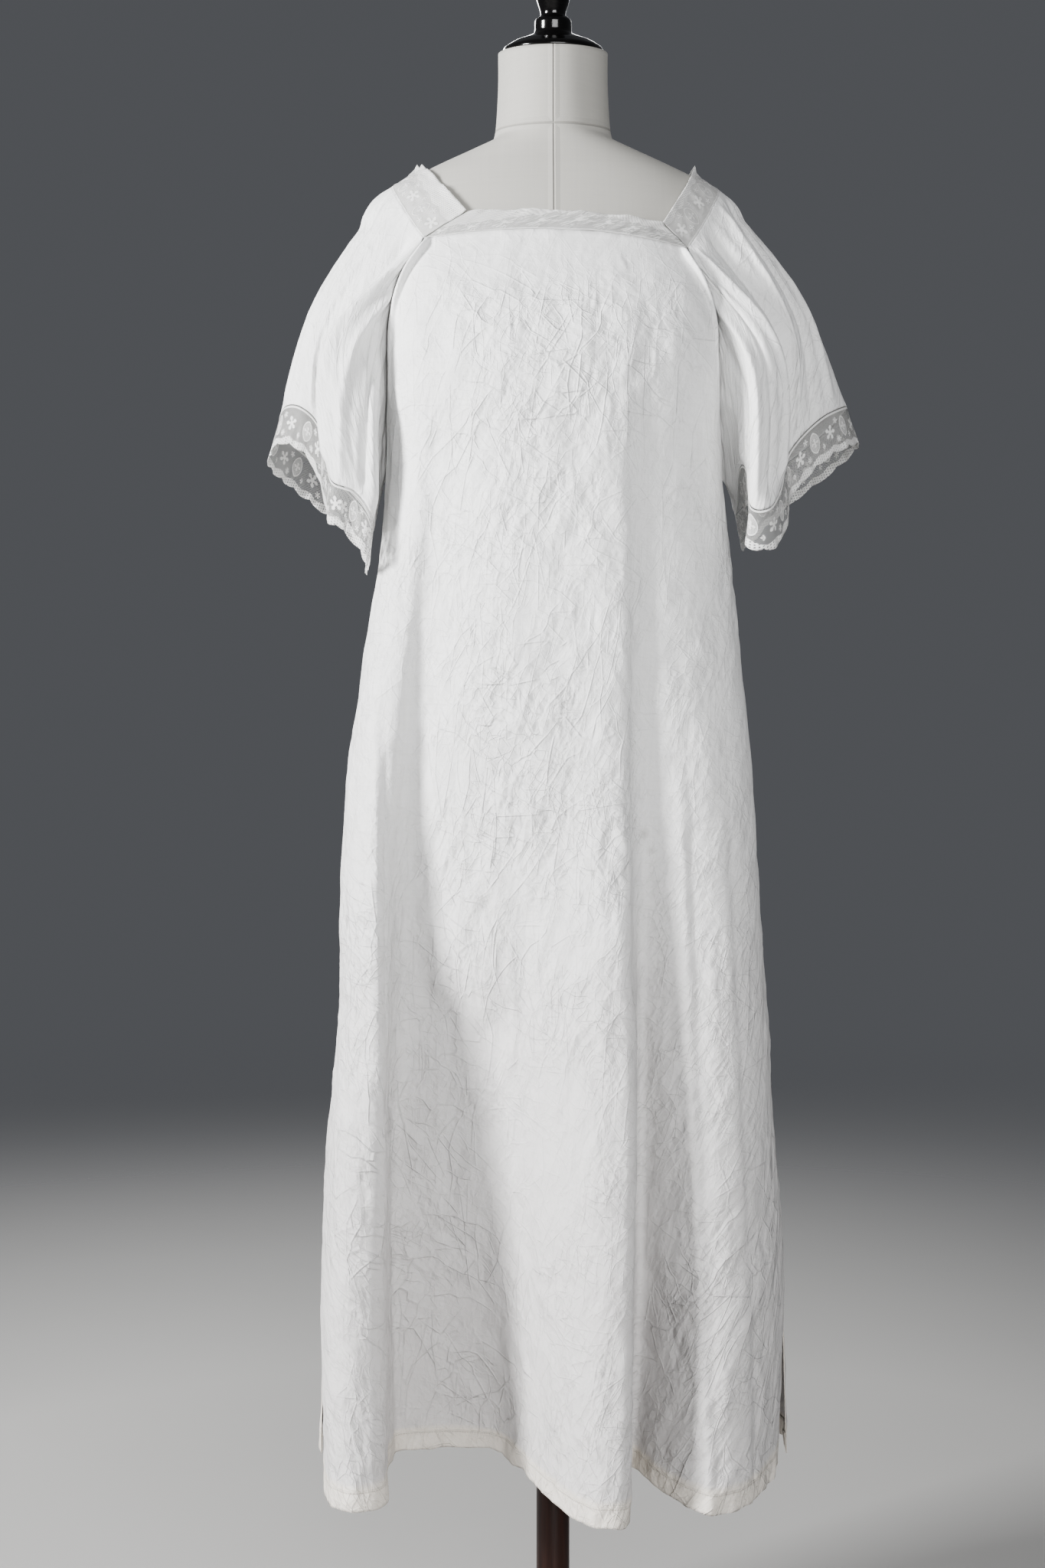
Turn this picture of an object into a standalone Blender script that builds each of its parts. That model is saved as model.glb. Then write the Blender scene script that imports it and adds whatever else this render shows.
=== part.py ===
"""White linen dress with lace, worn by a limbless dress form on a pole.

Metres. +Z is up, the dress faces -Y, +X is the viewer's right. The origin is the
middle of the base's underside, on the floor.
"""
import math
from collections import namedtuple

import bmesh
import bpy
from mathutils import Vector
from mathutils.bvhtree import BVHTree

# Driving dimensions of the cloth
CLOTH = 0.0012
LACE = 0.0010
SEAM_GAP = 0.0003
CLEAR_OF_FORM = 0.0060
STRAP_CLEAR = 0.0026
YOKE_HEIGHT = 1.485
BACK_YOKE_HEIGHT = 1.512
BUST_HEIGHT = 1.340
ARMPIT_HEIGHT = 1.260
HIP_HEIGHT = 0.930
HEM_HEIGHT = 0.262
HEM_RISE_PER_DEPTH = 0.085
HEM_FRONT_REACH = 0.170
BAND_FADE = 0.16
ARMHOLE_STEP = 0.0020
SIDE_SEAM_Y = -0.010
CUFF_LACE_WIDTH = 0.040
CUFF_LACE_FLARE = Vector((0.10, 0.0, -0.6))
CUFF_LACE_PLUMB = 0.75
RIM_STEP = 0.004
SCALLOP_DEPTH = 0.0045
SCALLOPS = 22

# Driving dimensions of the dress form
NECK_RADIUS = 0.0558
NECK_TOP = 1.697
NECK_TILT = math.radians(11.0)
TORSO_BOTTOM = 0.780
POLE_RADIUS = 0.0168
BASE_RADIUS = 0.190
BASE_THICKNESS = 0.030
BASE_EDGE = 0.006

# How finely each piece is divided
TORSO_SIDES = 32
CELLS_PER_FOLD = 2
FRONT_ROWS = 20
BACK_ROWS = 18
SLEEVE_ROWS = 11
STRIP_ROWS = 3
ROW_SPREAD = 1.5
TURNED_STEPS = 24

Ring = namedtuple("Ring", "height half_width front back")
TORSO_RINGS = (
    Ring(0.780, 0.166, 0.103, 0.117),
    Ring(0.870, 0.173, 0.108, 0.124),
    Ring(0.960, 0.172, 0.108, 0.126),
    Ring(1.030, 0.160, 0.102, 0.116),
    Ring(1.100, 0.138, 0.094, 0.098),
    Ring(1.170, 0.123, 0.088, 0.087),
    Ring(1.240, 0.131, 0.098, 0.092),
    Ring(1.300, 0.142, 0.113, 0.099),
    Ring(1.350, 0.149, 0.122, 0.104),
    Ring(1.400, 0.158, 0.117, 0.106),
    Ring(1.450, 0.175, 0.104, 0.104),
    Ring(1.490, 0.188, 0.091, 0.098),
    Ring(1.520, 0.190, 0.083, 0.091),
    Ring(1.545, 0.176, 0.076, 0.083),
    Ring(1.563, 0.152, 0.070, 0.076),
    Ring(1.578, 0.122, 0.064, 0.070),
    Ring(1.592, 0.090, 0.0595, 0.066),
    Ring(1.603, 0.0650, 0.0578, 0.0615),
    Ring(1.612, 0.0597, 0.0568, 0.0590),
    Ring(1.630, 0.0575, 0.0562, 0.0575),
    Ring(1.665, 0.0558, 0.0558, 0.0558),
    Ring(1.697, 0.0558, 0.0558, 0.0558),
)

# The cloth falls inward slowly below the form, as if these rings carried it
FALL_RINGS = (
    Ring(0.600, 0.085, 0.020, 0.030),
    Ring(0.680, 0.128, 0.066, 0.080),
    Ring(0.735, 0.154, 0.092, 0.106),
)

# Where the side edges of front and back run: raglan seams above the armpit,
# side seams below it, slits at the bottom
Edge = namedtuple("Edge", "height left_front left_back right_front right_back front_y back_y")
SIDE_EDGES = (
    Edge(0.262, -0.2260, -0.2350, 0.2260, 0.2365, -0.0210, -0.0100),
    Edge(0.400, -0.2322, -0.2324, 0.2328, 0.2332, -0.010, -0.010),
    Edge(0.480, -0.2325, -0.2325, 0.2330, 0.2330, -0.010, -0.010),
    Edge(0.590, -0.2285, -0.2285, 0.2245, 0.2245, -0.010, -0.010),
    Edge(0.720, -0.2150, -0.2150, 0.2165, 0.2165, -0.010, -0.010),
    Edge(0.850, -0.2140, -0.2140, 0.2075, 0.2075, -0.010, -0.010),
    Edge(0.980, -0.2055, -0.2055, 0.1990, 0.1990, -0.010, -0.010),
    Edge(1.070, -0.1920, -0.1920, 0.1900, 0.1900, -0.010, -0.010),
    Edge(1.170, -0.1750, -0.1750, 0.1780, 0.1780, -0.010, -0.010),
    Edge(1.260, -0.1680, -0.1680, 0.1690, 0.1690, -0.010, -0.010),
    Edge(1.340, -0.1650, -0.1650, 0.1630, 0.1630, -0.0420, 0.0460),
    Edge(1.410, -0.1620, -0.1630, 0.1600, 0.1620, -0.0640, 0.0640),
    Edge(1.450, -0.1500, -0.1560, 0.1490, 0.1560, -0.0700, 0.0700),
    Edge(1.485, -0.1270, -0.1390, 0.1300, 0.1420, -0.0700, 0.0730),
    Edge(1.512, -0.1260, -0.1250, 0.1290, 0.1270, -0.0700, 0.0730),
)

# One row for each crest, flank and valley of the cloth, from the left side seam to the right one
Fold = namedtuple("Fold", "bust_x bust_y hip_x hip_y hem_x hem_y")
FRONT_FOLDS = (
    Fold(-0.164, -0.042, -0.212, -0.010, -0.230, -0.020),
    Fold(-0.159, -0.070, -0.207, -0.060, -0.226, -0.085),
    Fold(-0.149, -0.092, -0.192, -0.092, -0.214, -0.124),
    Fold(-0.136, -0.106, -0.174, -0.104, -0.191, -0.136),
    Fold(-0.122, -0.114, -0.159, -0.102, -0.168, -0.118),
    Fold(-0.108, -0.119, -0.149, -0.086, -0.171, -0.055),
    Fold(-0.094, -0.124, -0.136, -0.082, -0.163, -0.012),
    Fold(-0.076, -0.129, -0.112, -0.092, -0.130, 0.004),
    Fold(-0.056, -0.133, -0.085, -0.104, -0.095, 0.006),
    Fold(-0.037, -0.135, -0.058, -0.112, -0.060, -0.006),
    Fold(-0.020, -0.136, -0.036, -0.117, -0.036, -0.038),
    Fold(-0.004, -0.136, -0.014, -0.121, -0.018, -0.082),
    Fold(0.012, -0.136, 0.008, -0.124, 0.001, -0.122),
    Fold(0.028, -0.136, 0.030, -0.128, 0.021, -0.154),
    Fold(0.044, -0.135, 0.050, -0.130, 0.042, -0.170),
    Fold(0.060, -0.133, 0.068, -0.126, 0.065, -0.158),
    Fold(0.074, -0.129, 0.075, -0.111, 0.070, -0.098),
    Fold(0.088, -0.123, 0.087, -0.103, 0.076, -0.044),
    Fold(0.103, -0.118, 0.108, -0.107, 0.098, -0.084),
    Fold(0.118, -0.112, 0.130, -0.106, 0.122, -0.121),
    Fold(0.133, -0.103, 0.153, -0.099, 0.149, -0.140),
    Fold(0.147, -0.089, 0.178, -0.082, 0.182, -0.121),
    Fold(0.157, -0.068, 0.194, -0.052, 0.209, -0.076),
    Fold(0.160, -0.042, 0.200, -0.010, 0.226, -0.020),
)
BACK_FOLDS = (
    Fold(-0.164, 0.046, -0.212, -0.010, -0.235, -0.015),
    Fold(-0.160, 0.066, -0.213, 0.036, -0.240, 0.042),
    Fold(-0.151, 0.083, -0.202, 0.076, -0.226, 0.094),
    Fold(-0.139, 0.095, -0.183, 0.102, -0.198, 0.119),
    Fold(-0.125, 0.103, -0.161, 0.110, -0.167, 0.102),
    Fold(-0.110, 0.108, -0.140, 0.112, -0.143, 0.064),
    Fold(-0.094, 0.111, -0.118, 0.124, -0.112, 0.084),
    Fold(-0.076, 0.114, -0.094, 0.137, -0.085, 0.138),
    Fold(-0.055, 0.116, -0.068, 0.147, -0.051, 0.166),
    Fold(-0.030, 0.117, -0.036, 0.146, -0.017, 0.138),
    Fold(-0.005, 0.117, -0.006, 0.139, 0.008, 0.082),
    Fold(0.022, 0.117, 0.024, 0.143, 0.034, 0.098),
    Fold(0.048, 0.116, 0.056, 0.150, 0.067, 0.150),
    Fold(0.073, 0.114, 0.088, 0.147, 0.102, 0.168),
    Fold(0.096, 0.110, 0.116, 0.134, 0.134, 0.134),
    Fold(0.116, 0.105, 0.142, 0.116, 0.156, 0.082),
    Fold(0.133, 0.096, 0.165, 0.102, 0.182, 0.090),
    Fold(0.147, 0.083, 0.186, 0.080, 0.213, 0.102),
    Fold(0.157, 0.066, 0.200, 0.040, 0.241, 0.062),
    Fold(0.160, 0.046, 0.200, -0.010, 0.2365, -0.015),
)

# Corners of the lace neck band: its free inner edge and its seam with the linen
Corner = namedtuple("Corner", "inner seam")
BAND_CORNERS = {
    "front_left": Corner(Vector((-0.084, -0.076, 1.512)), Vector((-0.126, -0.069, 1.4905))),
    "shoulder_left": Corner(Vector((-0.136, 0.000, 1.580)), Vector((-0.161, 0.000, 1.560))),
    "back_left": Corner(Vector((-0.090, 0.073, 1.545)), Vector((-0.124, 0.072, 1.512))),
    "back_right": Corner(Vector((0.094, 0.073, 1.543)), Vector((0.126, 0.072, 1.510))),
    "shoulder_right": Corner(Vector((0.141, 0.000, 1.576)), Vector((0.164, 0.000, 1.557))),
    "front_right": Corner(Vector((0.1045, -0.073, 1.502)), Vector((0.1295, -0.068, 1.4805))),
}

# One row for each crest and valley of a sleeve. Column seam is the place on the armhole where
# it starts: 0 at the armpit, 1 at the front lace corner, 2 at the back one, 3 at the armpit again
Rib = namedtuple("Rib", "seam hang_x hang_y hang_z cuff_x cuff_y cuff_z")
LEFT_RIBS = (
    Rib(0.00, -0.178, -0.010, 1.236, -0.184, -0.012, 1.206),
    Rib(0.25, -0.179, -0.056, 1.276, -0.181, -0.060, 1.204),
    Rib(0.50, -0.172, -0.094, 1.318, -0.175, -0.099, 1.212),
    Rib(0.72, -0.188, -0.098, 1.352, -0.192, -0.101, 1.236),
    Rib(0.90, -0.213, -0.095, 1.372, -0.214, -0.098, 1.246),
    Rib(1.05, -0.221, -0.070, 1.386, -0.223, -0.070, 1.268),
    Rib(1.20, -0.226, -0.048, 1.402, -0.234, -0.046, 1.312),
    Rib(1.32, -0.233, -0.040, 1.425, -0.252, -0.042, 1.330),
    Rib(1.42, -0.238, -0.024, 1.440, -0.269, -0.028, 1.333),
    Rib(1.52, -0.240, 0.000, 1.436, -0.279, 0.000, 1.323),
    Rib(1.62, -0.236, 0.025, 1.425, -0.277, 0.024, 1.314),
    Rib(1.74, -0.228, 0.046, 1.405, -0.266, 0.044, 1.306),
    Rib(1.90, -0.220, 0.064, 1.390, -0.252, 0.056, 1.295),
    Rib(2.10, -0.210, 0.080, 1.370, -0.234, 0.066, 1.280),
    Rib(2.32, -0.197, 0.088, 1.335, -0.213, 0.072, 1.262),
    Rib(2.56, -0.186, 0.078, 1.300, -0.195, 0.064, 1.240),
    Rib(2.80, -0.180, 0.042, 1.266, -0.187, 0.030, 1.218),
)
RIGHT_RIBS = (
    Rib(0.00, 0.179, -0.010, 1.252, 0.186, -0.012, 1.240),
    Rib(0.22, 0.180, -0.044, 1.300, 0.185, -0.044, 1.268),
    Rib(0.46, 0.183, -0.074, 1.328, 0.188, -0.074, 1.262),
    Rib(0.70, 0.189, -0.093, 1.348, 0.190, -0.094, 1.224),
    Rib(0.90, 0.205, -0.092, 1.366, 0.208, -0.094, 1.222),
    Rib(1.04, 0.217, -0.072, 1.386, 0.222, -0.074, 1.244),
    Rib(1.18, 0.228, -0.053, 1.402, 0.232, -0.053, 1.280),
    Rib(1.30, 0.237, -0.046, 1.418, 0.248, -0.050, 1.302),
    Rib(1.40, 0.246, -0.036, 1.432, 0.268, -0.044, 1.320),
    Rib(1.48, 0.253, -0.020, 1.438, 0.288, -0.026, 1.332),
    Rib(1.56, 0.255, 0.000, 1.436, 0.299, 0.000, 1.338),
    Rib(1.66, 0.250, 0.024, 1.428, 0.294, 0.025, 1.330),
    Rib(1.80, 0.240, 0.046, 1.412, 0.274, 0.046, 1.312),
    Rib(1.96, 0.226, 0.064, 1.392, 0.248, 0.060, 1.292),
    Rib(2.20, 0.208, 0.080, 1.355, 0.222, 0.068, 1.268),
    Rib(2.50, 0.191, 0.072, 1.310, 0.200, 0.054, 1.245),
    Rib(2.78, 0.183, 0.036, 1.270, 0.188, 0.022, 1.232),
)

# Colour, roughness of each finish
Finish = namedtuple("Finish", "colour roughness")
LINEN = Finish((0.80, 0.79, 0.77), 0.85)
COTTON_LACE = Finish((0.84, 0.83, 0.80), 0.80)
CANVAS = Finish((0.71, 0.67, 0.58), 0.85)
BLACK_LACQUER = Finish((0.010, 0.009, 0.009), 0.18)
DARK_WOOD = Finish((0.060, 0.022, 0.014), 0.40)


def curve_at(stations, values, where):
    """Smooth curve through values at rising stations, held flat past its ends."""
    if where <= stations[0]:
        return values[0]
    if where >= stations[-1]:
        return values[-1]
    last = len(stations) - 1
    index = next(i for i in range(last) if where <= stations[i + 1])

    def slope(i):
        low, high = max(i - 1, 0), min(i + 1, last)
        return (values[high] - values[low]) / (stations[high] - stations[low])

    span = stations[index + 1] - stations[index]
    t = (where - stations[index]) / span
    rise = t * t * (3 - 2 * t)
    lead = t * (1 - t) ** 2 * span
    trail = -t * t * (1 - t) * span
    ends = values[index] * (1 - rise) + values[index + 1] * rise
    return ends + slope(index) * lead + slope(index + 1) * trail


def through(points, place):
    """Point on the smooth curve through points[1:-1]; the end points only steer it."""
    index = min(int(place), len(points) - 4)
    t = place - index
    a, b, c, d = points[index:index + 4]
    return 0.5 * (2 * b + (c - a) * t + (2 * a - 5 * b + 4 * c - d) * t * t
                  + (3 * b - a - 3 * c + d) * t ** 3)


def fade(value, start, end):
    """0 before start, 1 past end, smooth between them."""
    t = min(max((value - start) / (end - start), 0.0), 1.0)
    return t * t * (3 - 2 * t)


def mix(a, b, t):
    return a * (1 - t) + b * t


def torso_point(rings, turn, rings_up):
    """Point of the dress form: turn 0 to 1 around from +X, rings_up counts rings from below."""
    places = range(len(rings))
    ring = Ring(*(curve_at(places, column, rings_up) for column in zip(*rings)))
    angle = 2 * math.pi * turn
    depth = ring.back if math.sin(angle) > 0 else ring.front
    point = Vector((ring.half_width * math.cos(angle), depth * math.sin(angle), ring.height))
    point.z += math.tan(NECK_TILT) * point.y * fade(ring.height, TORSO_RINGS[-4].height, NECK_TOP)
    return point


def shaped_grid(columns, rows, place, closed=False):
    """Sheet of columns by rows cells whose points are place(across, down), each 0 to 1."""
    sheet = bmesh.new()
    bmesh.ops.create_grid(sheet, x_segments=columns, y_segments=rows, size=1.0)
    for vertex in sheet.verts:
        vertex.co = place((vertex.co.x + 1) / 2, (1 - vertex.co.y) / 2)
    if closed:
        bmesh.ops.remove_doubles(sheet, verts=sheet.verts, dist=1e-6)
    return sheet


def torso_mesh(rings):
    last = len(rings) - 1
    body = shaped_grid(TORSO_SIDES, last, lambda u, v: torso_point(rings, u, last * (1 - v)), closed=True)
    bmesh.ops.holes_fill(body, edges=body.edges, sides=TORSO_SIDES)
    bmesh.ops.recalc_face_normals(body, faces=body.faces)
    return body


def clear(point, gap):
    """The point itself, or its place at gap off the form where it is nearer than that."""
    surface, normal, _, _ = FORM.find_nearest(point)
    height = (point - surface).dot(normal)
    return surface + normal * gap if height < gap else point


def laid(point, gap):
    """The nearest place at gap off the form."""
    surface, normal, _, _ = FORM.find_nearest(point)
    return surface + normal * gap


def band_point(corners, edge, place):
    """Point on the inner or seam edge of one strip of the neck band, place 0 to 1."""
    ends = [getattr(BAND_CORNERS[name], edge) for name in corners]
    stations = [i / (len(ends) - 1) for i in range(len(ends))]
    return curve_at(stations, ends, place)


def strip_point(corners, across, down):
    """Point of a neck band strip: down 0 at the inner edge, 1 at the seam."""
    inner = band_point(corners, "inner", across)
    seam = band_point(corners, "seam", across)
    return laid(mix(inner, seam, down), STRAP_CLEAR)


STRIPS = {
    "neck_lace_front": ("front_left", "front_right"),
    "neck_lace_left": ("front_left", "shoulder_left", "back_left"),
    "neck_lace_back": ("back_left", "back_right"),
    "neck_lace_right": ("front_right", "shoulder_right", "back_right"),
}


def edge_at(height):
    stations = [row.height for row in SIDE_EDGES]
    edge = Edge(*(curve_at(stations, column, height) for column in zip(*SIDE_EDGES)))
    return edge._replace(front_y=min(edge.front_y, SIDE_SEAM_Y - SEAM_GAP / 2),
                         back_y=max(edge.back_y, SIDE_SEAM_Y + SEAM_GAP / 2))


def fold_points(folds, height, side):
    """Crest and valley points of one panel at a height, fitted between its side edges."""
    strip = STRIPS["neck_lace_front" if side == "front" else "neck_lace_back"]
    top = YOKE_HEIGHT if side == "front" else BACK_YOKE_HEIGHT
    stations = (HEM_HEIGHT, HIP_HEIGHT, BUST_HEIGHT, top)
    last = len(folds) - 1
    points = []
    for index, fold in enumerate(folds):
        yoke = strip_point(strip, index / last, 1.0)
        levels = (Vector((fold.hem_x, fold.hem_y)), Vector((fold.hip_x, fold.hip_y)),
                  Vector((fold.bust_x, fold.bust_y)), yoke.xy)
        points.append(curve_at(stations, levels, height))
    edge = edge_at(height)
    left, right, edge_y = ((edge.left_front, edge.right_front, edge.front_y) if side == "front"
                           else (edge.left_back, edge.right_back, edge.back_y))
    left_move = Vector((left, edge_y)) - points[0]
    right_move = Vector((right, edge_y)) - points[-1]
    for index, point in enumerate(points):
        share = index / last
        point += left_move * (1 - share) ** 3 + right_move * share ** 3
    return points


def panel_point(side, across, down):
    """Point of the front or back panel: across 0 to 1 from left to right, down 0 at the yoke."""
    folds, others = (FRONT_FOLDS, BACK_FOLDS) if side == "front" else (BACK_FOLDS, FRONT_FOLDS)
    other_side = "back" if side == "front" else "front"
    top = YOKE_HEIGHT if side == "front" else BACK_YOKE_HEIGHT
    height = mix(top, HEM_HEIGHT, down)
    own = fold_points(folds, height, side)
    neighbours = fold_points(others, height, other_side)
    steered = [neighbours[1]] + own + [neighbours[-2]]
    flat = through(steered, across * (len(own) - 1))
    strip = STRIPS["neck_lace_" + side]
    seam = strip_point(strip, across, 1.0)
    inner = strip_point(strip, across, 0.9)
    seam += (seam - inner).normalized() * (SEAM_GAP + CLOTH / 2)
    hem = HEM_HEIGHT + HEM_RISE_PER_DEPTH * (HEM_FRONT_REACH - abs(flat.y))
    near_top = fade(height, top - BAND_FADE, top)
    near_hem = 1 - fade(height, HEM_HEIGHT, HEM_HEIGHT + BAND_FADE)
    z = height + (seam.z - top) * near_top + (hem - HEM_HEIGHT) * near_hem
    point = Vector((flat.x, flat.y, z))
    if down == 0:
        return seam
    return clear(point, mix(CLEAR_OF_FORM, STRAP_CLEAR, near_top ** 2))


def armhole_point(ribs, seam):
    """Point beside the armhole's edge: 0 armpit, 1 front corner, 2 back corner, 3 armpit."""
    outward = math.copysign(1.0, ribs[0].cuff_x)
    name = "right" if outward > 0 else "left"
    if 1 <= seam <= 2:
        strip = STRIPS["neck_lace_" + name]
        point = strip_point(strip, seam - 1, 1.0)
        inner = strip_point(strip, seam - 1, 0.8)
        return point + (point - inner).normalized() * ARMHOLE_STEP
    side, top = ("front", YOKE_HEIGHT) if seam < 1 else ("back", BACK_YOKE_HEIGHT)
    height = mix(ARMPIT_HEIGHT, top, seam if seam < 1 else 3 - seam)
    down = (top - height) / (top - HEM_HEIGHT)
    point = panel_point(side, 0.0 if name == "left" else 1.0, down)
    return point + Vector((outward * ARMHOLE_STEP, 0, 0))


def around(points, turn):
    """Smooth closed curve through points, turn 0 to 1."""
    looped = [points[-1]] + points + points[:3]
    return through(looped, (turn % 1.0) * len(points))


def sleeve_point(ribs, turn, down):
    """Point of a sleeve: turn 0 to 1 around from the armpit by the front, down 0 at the armhole."""
    seams = [rib.seam for rib in ribs] + [3.0]
    start = armhole_point(ribs, curve_at(range(len(seams)), seams, (turn % 1.0) * len(ribs)))
    hang = around([Vector((rib.hang_x, rib.hang_y, rib.hang_z)) for rib in ribs], turn)
    cuff = around([Vector((rib.cuff_x, rib.cuff_y, rib.cuff_z)) for rib in ribs], turn)
    point = curve_at((0.0, 0.5, 1.0), (start, hang, cuff), down)
    return clear(point, CLEAR_OF_FORM * fade(down, -0.3, 0.2))


def cuff_lace_point(ribs, turn, down):
    """Point of a sleeve's lace: down 0 at its seam, 1 at its scalloped edge."""
    end = sleeve_point(ribs, turn, 1.0)
    before = sleeve_point(ribs, turn, 0.9)
    ahead, behind = (sleeve_point(ribs, turn + step, 1.0) for step in (RIM_STEP, -RIM_STEP))
    rim = (ahead - behind).normalized()
    flare = CUFF_LACE_FLARE.copy()
    flare.x = math.copysign(flare.x, ribs[0].cuff_x)
    fall = ((end - before).normalized() + flare).normalized()
    square = (fall - rim * fall.dot(rim)).normalized()
    scallop = abs(math.cos(math.pi * SCALLOPS * turn)) * SCALLOP_DEPTH
    gap = SEAM_GAP + CLOTH / 2 + LACE / 2
    return end + square * gap + mix(square, fall, CUFF_LACE_PLUMB) * down * (CUFF_LACE_WIDTH - scallop)


def add_object(name, mesh, finish, smooth=True, wall=0.0):
    data = bpy.data.meshes.new(name)
    mesh.to_mesh(data)
    mesh.free()
    if smooth:
        data.shade_smooth()
        data.set_sharp_from_angle(angle=math.radians(50))
    data.materials.append(material(name, finish))
    item = bpy.data.objects.new(name, data)
    bpy.context.scene.collection.objects.link(item)
    if wall:
        solid = item.modifiers.new("wall", "SOLIDIFY")
        solid.thickness = wall
        solid.offset = 0.0
    return item


def material(name, finish):
    made = bpy.data.materials.new(name)
    made.use_nodes = True
    shader = made.node_tree.nodes["Principled BSDF"]
    shader.inputs["Base Color"].default_value = (*finish.colour, 1.0)
    shader.inputs["Roughness"].default_value = finish.roughness
    return made


def add_panel(side, rows):
    columns = (len(FRONT_FOLDS if side == "front" else BACK_FOLDS) - 1) * CELLS_PER_FOLD
    sheet = shaped_grid(columns, rows, lambda u, v: panel_point(side, u, v ** ROW_SPREAD))
    add_object(side, sheet, LINEN, wall=CLOTH)


def add_sleeve(name, ribs):
    columns = len(ribs) * CELLS_PER_FOLD
    tube = shaped_grid(columns, SLEEVE_ROWS, lambda u, v: sleeve_point(ribs, u, v), closed=True)
    add_object("sleeve_" + name, tube, LINEN, wall=CLOTH)
    edging = shaped_grid(SCALLOPS * 3, 2, lambda u, v: cuff_lace_point(ribs, u, v), closed=True)
    add_object("cuff_lace_" + name, edging, COTTON_LACE, wall=LACE)


def add_neck_band():
    for name, corners in STRIPS.items():
        columns = 16 if len(corners) == 2 else 22
        strip = shaped_grid(columns, STRIP_ROWS,
                            lambda u, v: strip_point(corners, trimmed(u, corners), v))
        add_object(name, strip, COTTON_LACE, wall=LACE)


def trimmed(place, corners):
    """Shortens a strip a little at both mitres, so that neighbours stay apart."""
    margin = 0.006 if len(corners) == 2 else 0.007
    return margin + place * (1 - 2 * margin)


def add_turned(name, profile, finish, location=(0, 0, 0), tilt=0.0):
    """Round piece turned about its own Z from radius and height rows, top row first."""
    outline = bmesh.new()
    points = [outline.verts.new((radius, 0, height)) for radius, height in profile]
    for first, second in zip(points, points[1:]):
        outline.edges.new((first, second))
    item = add_object(name, outline, finish)
    item.location = location
    item.rotation_euler.x = tilt
    screw = item.modifiers.new("turned", "SCREW")
    screw.steps = TURNED_STEPS
    screw.render_steps = TURNED_STEPS
    screw.use_merge_vertices = True
    screw.merge_threshold = 0.00002
    return item


CAP_PROFILE = (
    (0.0000, 0.0840), (0.0090, 0.0825), (0.0170, 0.0760), (0.0205, 0.0665), (0.0172, 0.0530),
    (0.0128, 0.0400), (0.0128, 0.0365), (0.0187, 0.0325), (0.0187, 0.0200), (0.0260, 0.0165),
    (0.0400, 0.0115), (0.0500, 0.0055), (0.0515, 0.0020), (0.0505, 0.0000), (0.0000, 0.0000),
)


def add_stand():
    seat = Vector((0, 0, NECK_TOP)) + Vector((0, -math.sin(NECK_TILT), math.cos(NECK_TILT))) * SEAM_GAP
    add_turned("neck_cap", CAP_PROFILE, BLACK_LACQUER, seat, NECK_TILT)
    pole_profile = ((0, TORSO_BOTTOM - SEAM_GAP), (POLE_RADIUS, TORSO_BOTTOM - SEAM_GAP),
                    (POLE_RADIUS, BASE_THICKNESS + SEAM_GAP), (0, BASE_THICKNESS + SEAM_GAP))
    add_turned("pole", pole_profile, DARK_WOOD)
    base_profile = ((0, BASE_THICKNESS), (BASE_RADIUS - BASE_EDGE, BASE_THICKNESS),
                    (BASE_RADIUS, BASE_THICKNESS - BASE_EDGE), (BASE_RADIUS, 0), (0, 0))
    add_turned("base", base_profile, DARK_WOOD)


for item in list(bpy.data.objects):
    bpy.data.objects.remove(item, do_unlink=True)

FORM = BVHTree.FromBMesh(torso_mesh(FALL_RINGS + TORSO_RINGS))
add_object("form_torso", torso_mesh(TORSO_RINGS), CANVAS)
add_stand()
add_neck_band()
add_panel("front", FRONT_ROWS)
add_panel("back", BACK_ROWS)
add_sleeve("left", LEFT_RIBS)
add_sleeve("right", RIGHT_RIBS)
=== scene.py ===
"""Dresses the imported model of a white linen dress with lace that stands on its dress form.

Metres, +Z up, the dress faces -Y. Every sub-assembly is a class that keeps its own sizes,
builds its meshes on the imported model's form and gives them their finish.
"""
import logging
import math
from dataclasses import dataclass, field
from enum import Enum
from functools import cache
from typing import Iterable, NamedTuple, Sequence

import bmesh
import bpy
import numpy as np
from mathutils import Matrix, Vector
from mathutils.bvhtree import BVHTree


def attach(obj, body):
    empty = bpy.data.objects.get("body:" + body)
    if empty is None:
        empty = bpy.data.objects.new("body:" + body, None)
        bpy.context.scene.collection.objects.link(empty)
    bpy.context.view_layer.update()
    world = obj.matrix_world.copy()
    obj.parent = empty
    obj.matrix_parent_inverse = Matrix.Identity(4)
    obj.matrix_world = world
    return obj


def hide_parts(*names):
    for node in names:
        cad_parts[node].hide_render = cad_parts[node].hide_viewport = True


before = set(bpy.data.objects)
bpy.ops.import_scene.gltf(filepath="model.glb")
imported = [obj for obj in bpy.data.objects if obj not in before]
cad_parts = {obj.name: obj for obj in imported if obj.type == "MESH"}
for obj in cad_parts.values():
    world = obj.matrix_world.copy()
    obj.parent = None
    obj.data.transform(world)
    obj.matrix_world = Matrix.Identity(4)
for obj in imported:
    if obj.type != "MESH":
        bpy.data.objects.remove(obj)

LOG = logging.getLogger("dress")
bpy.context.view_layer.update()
BODY = "root"

Triple = tuple[float, float, float]

# Levels of the dress above the floor
YOKE_HEIGHT = 1.485
BACK_YOKE_HEIGHT = 1.512
BUST_HEIGHT = 1.340
ARMPIT_HEIGHT = 1.260
HIP_HEIGHT = 0.930
HEM_HEIGHT = 0.262
HEM_RISE_PER_DEPTH = 0.085
HEM_FRONT_REACH = 0.170
BAND_FADE = 0.16
HEM_TURN = 0.019
NECK_TOP = 1.697
NECK_TILT = math.radians(11.0)
TORSO_BOTTOM = 0.780

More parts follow.
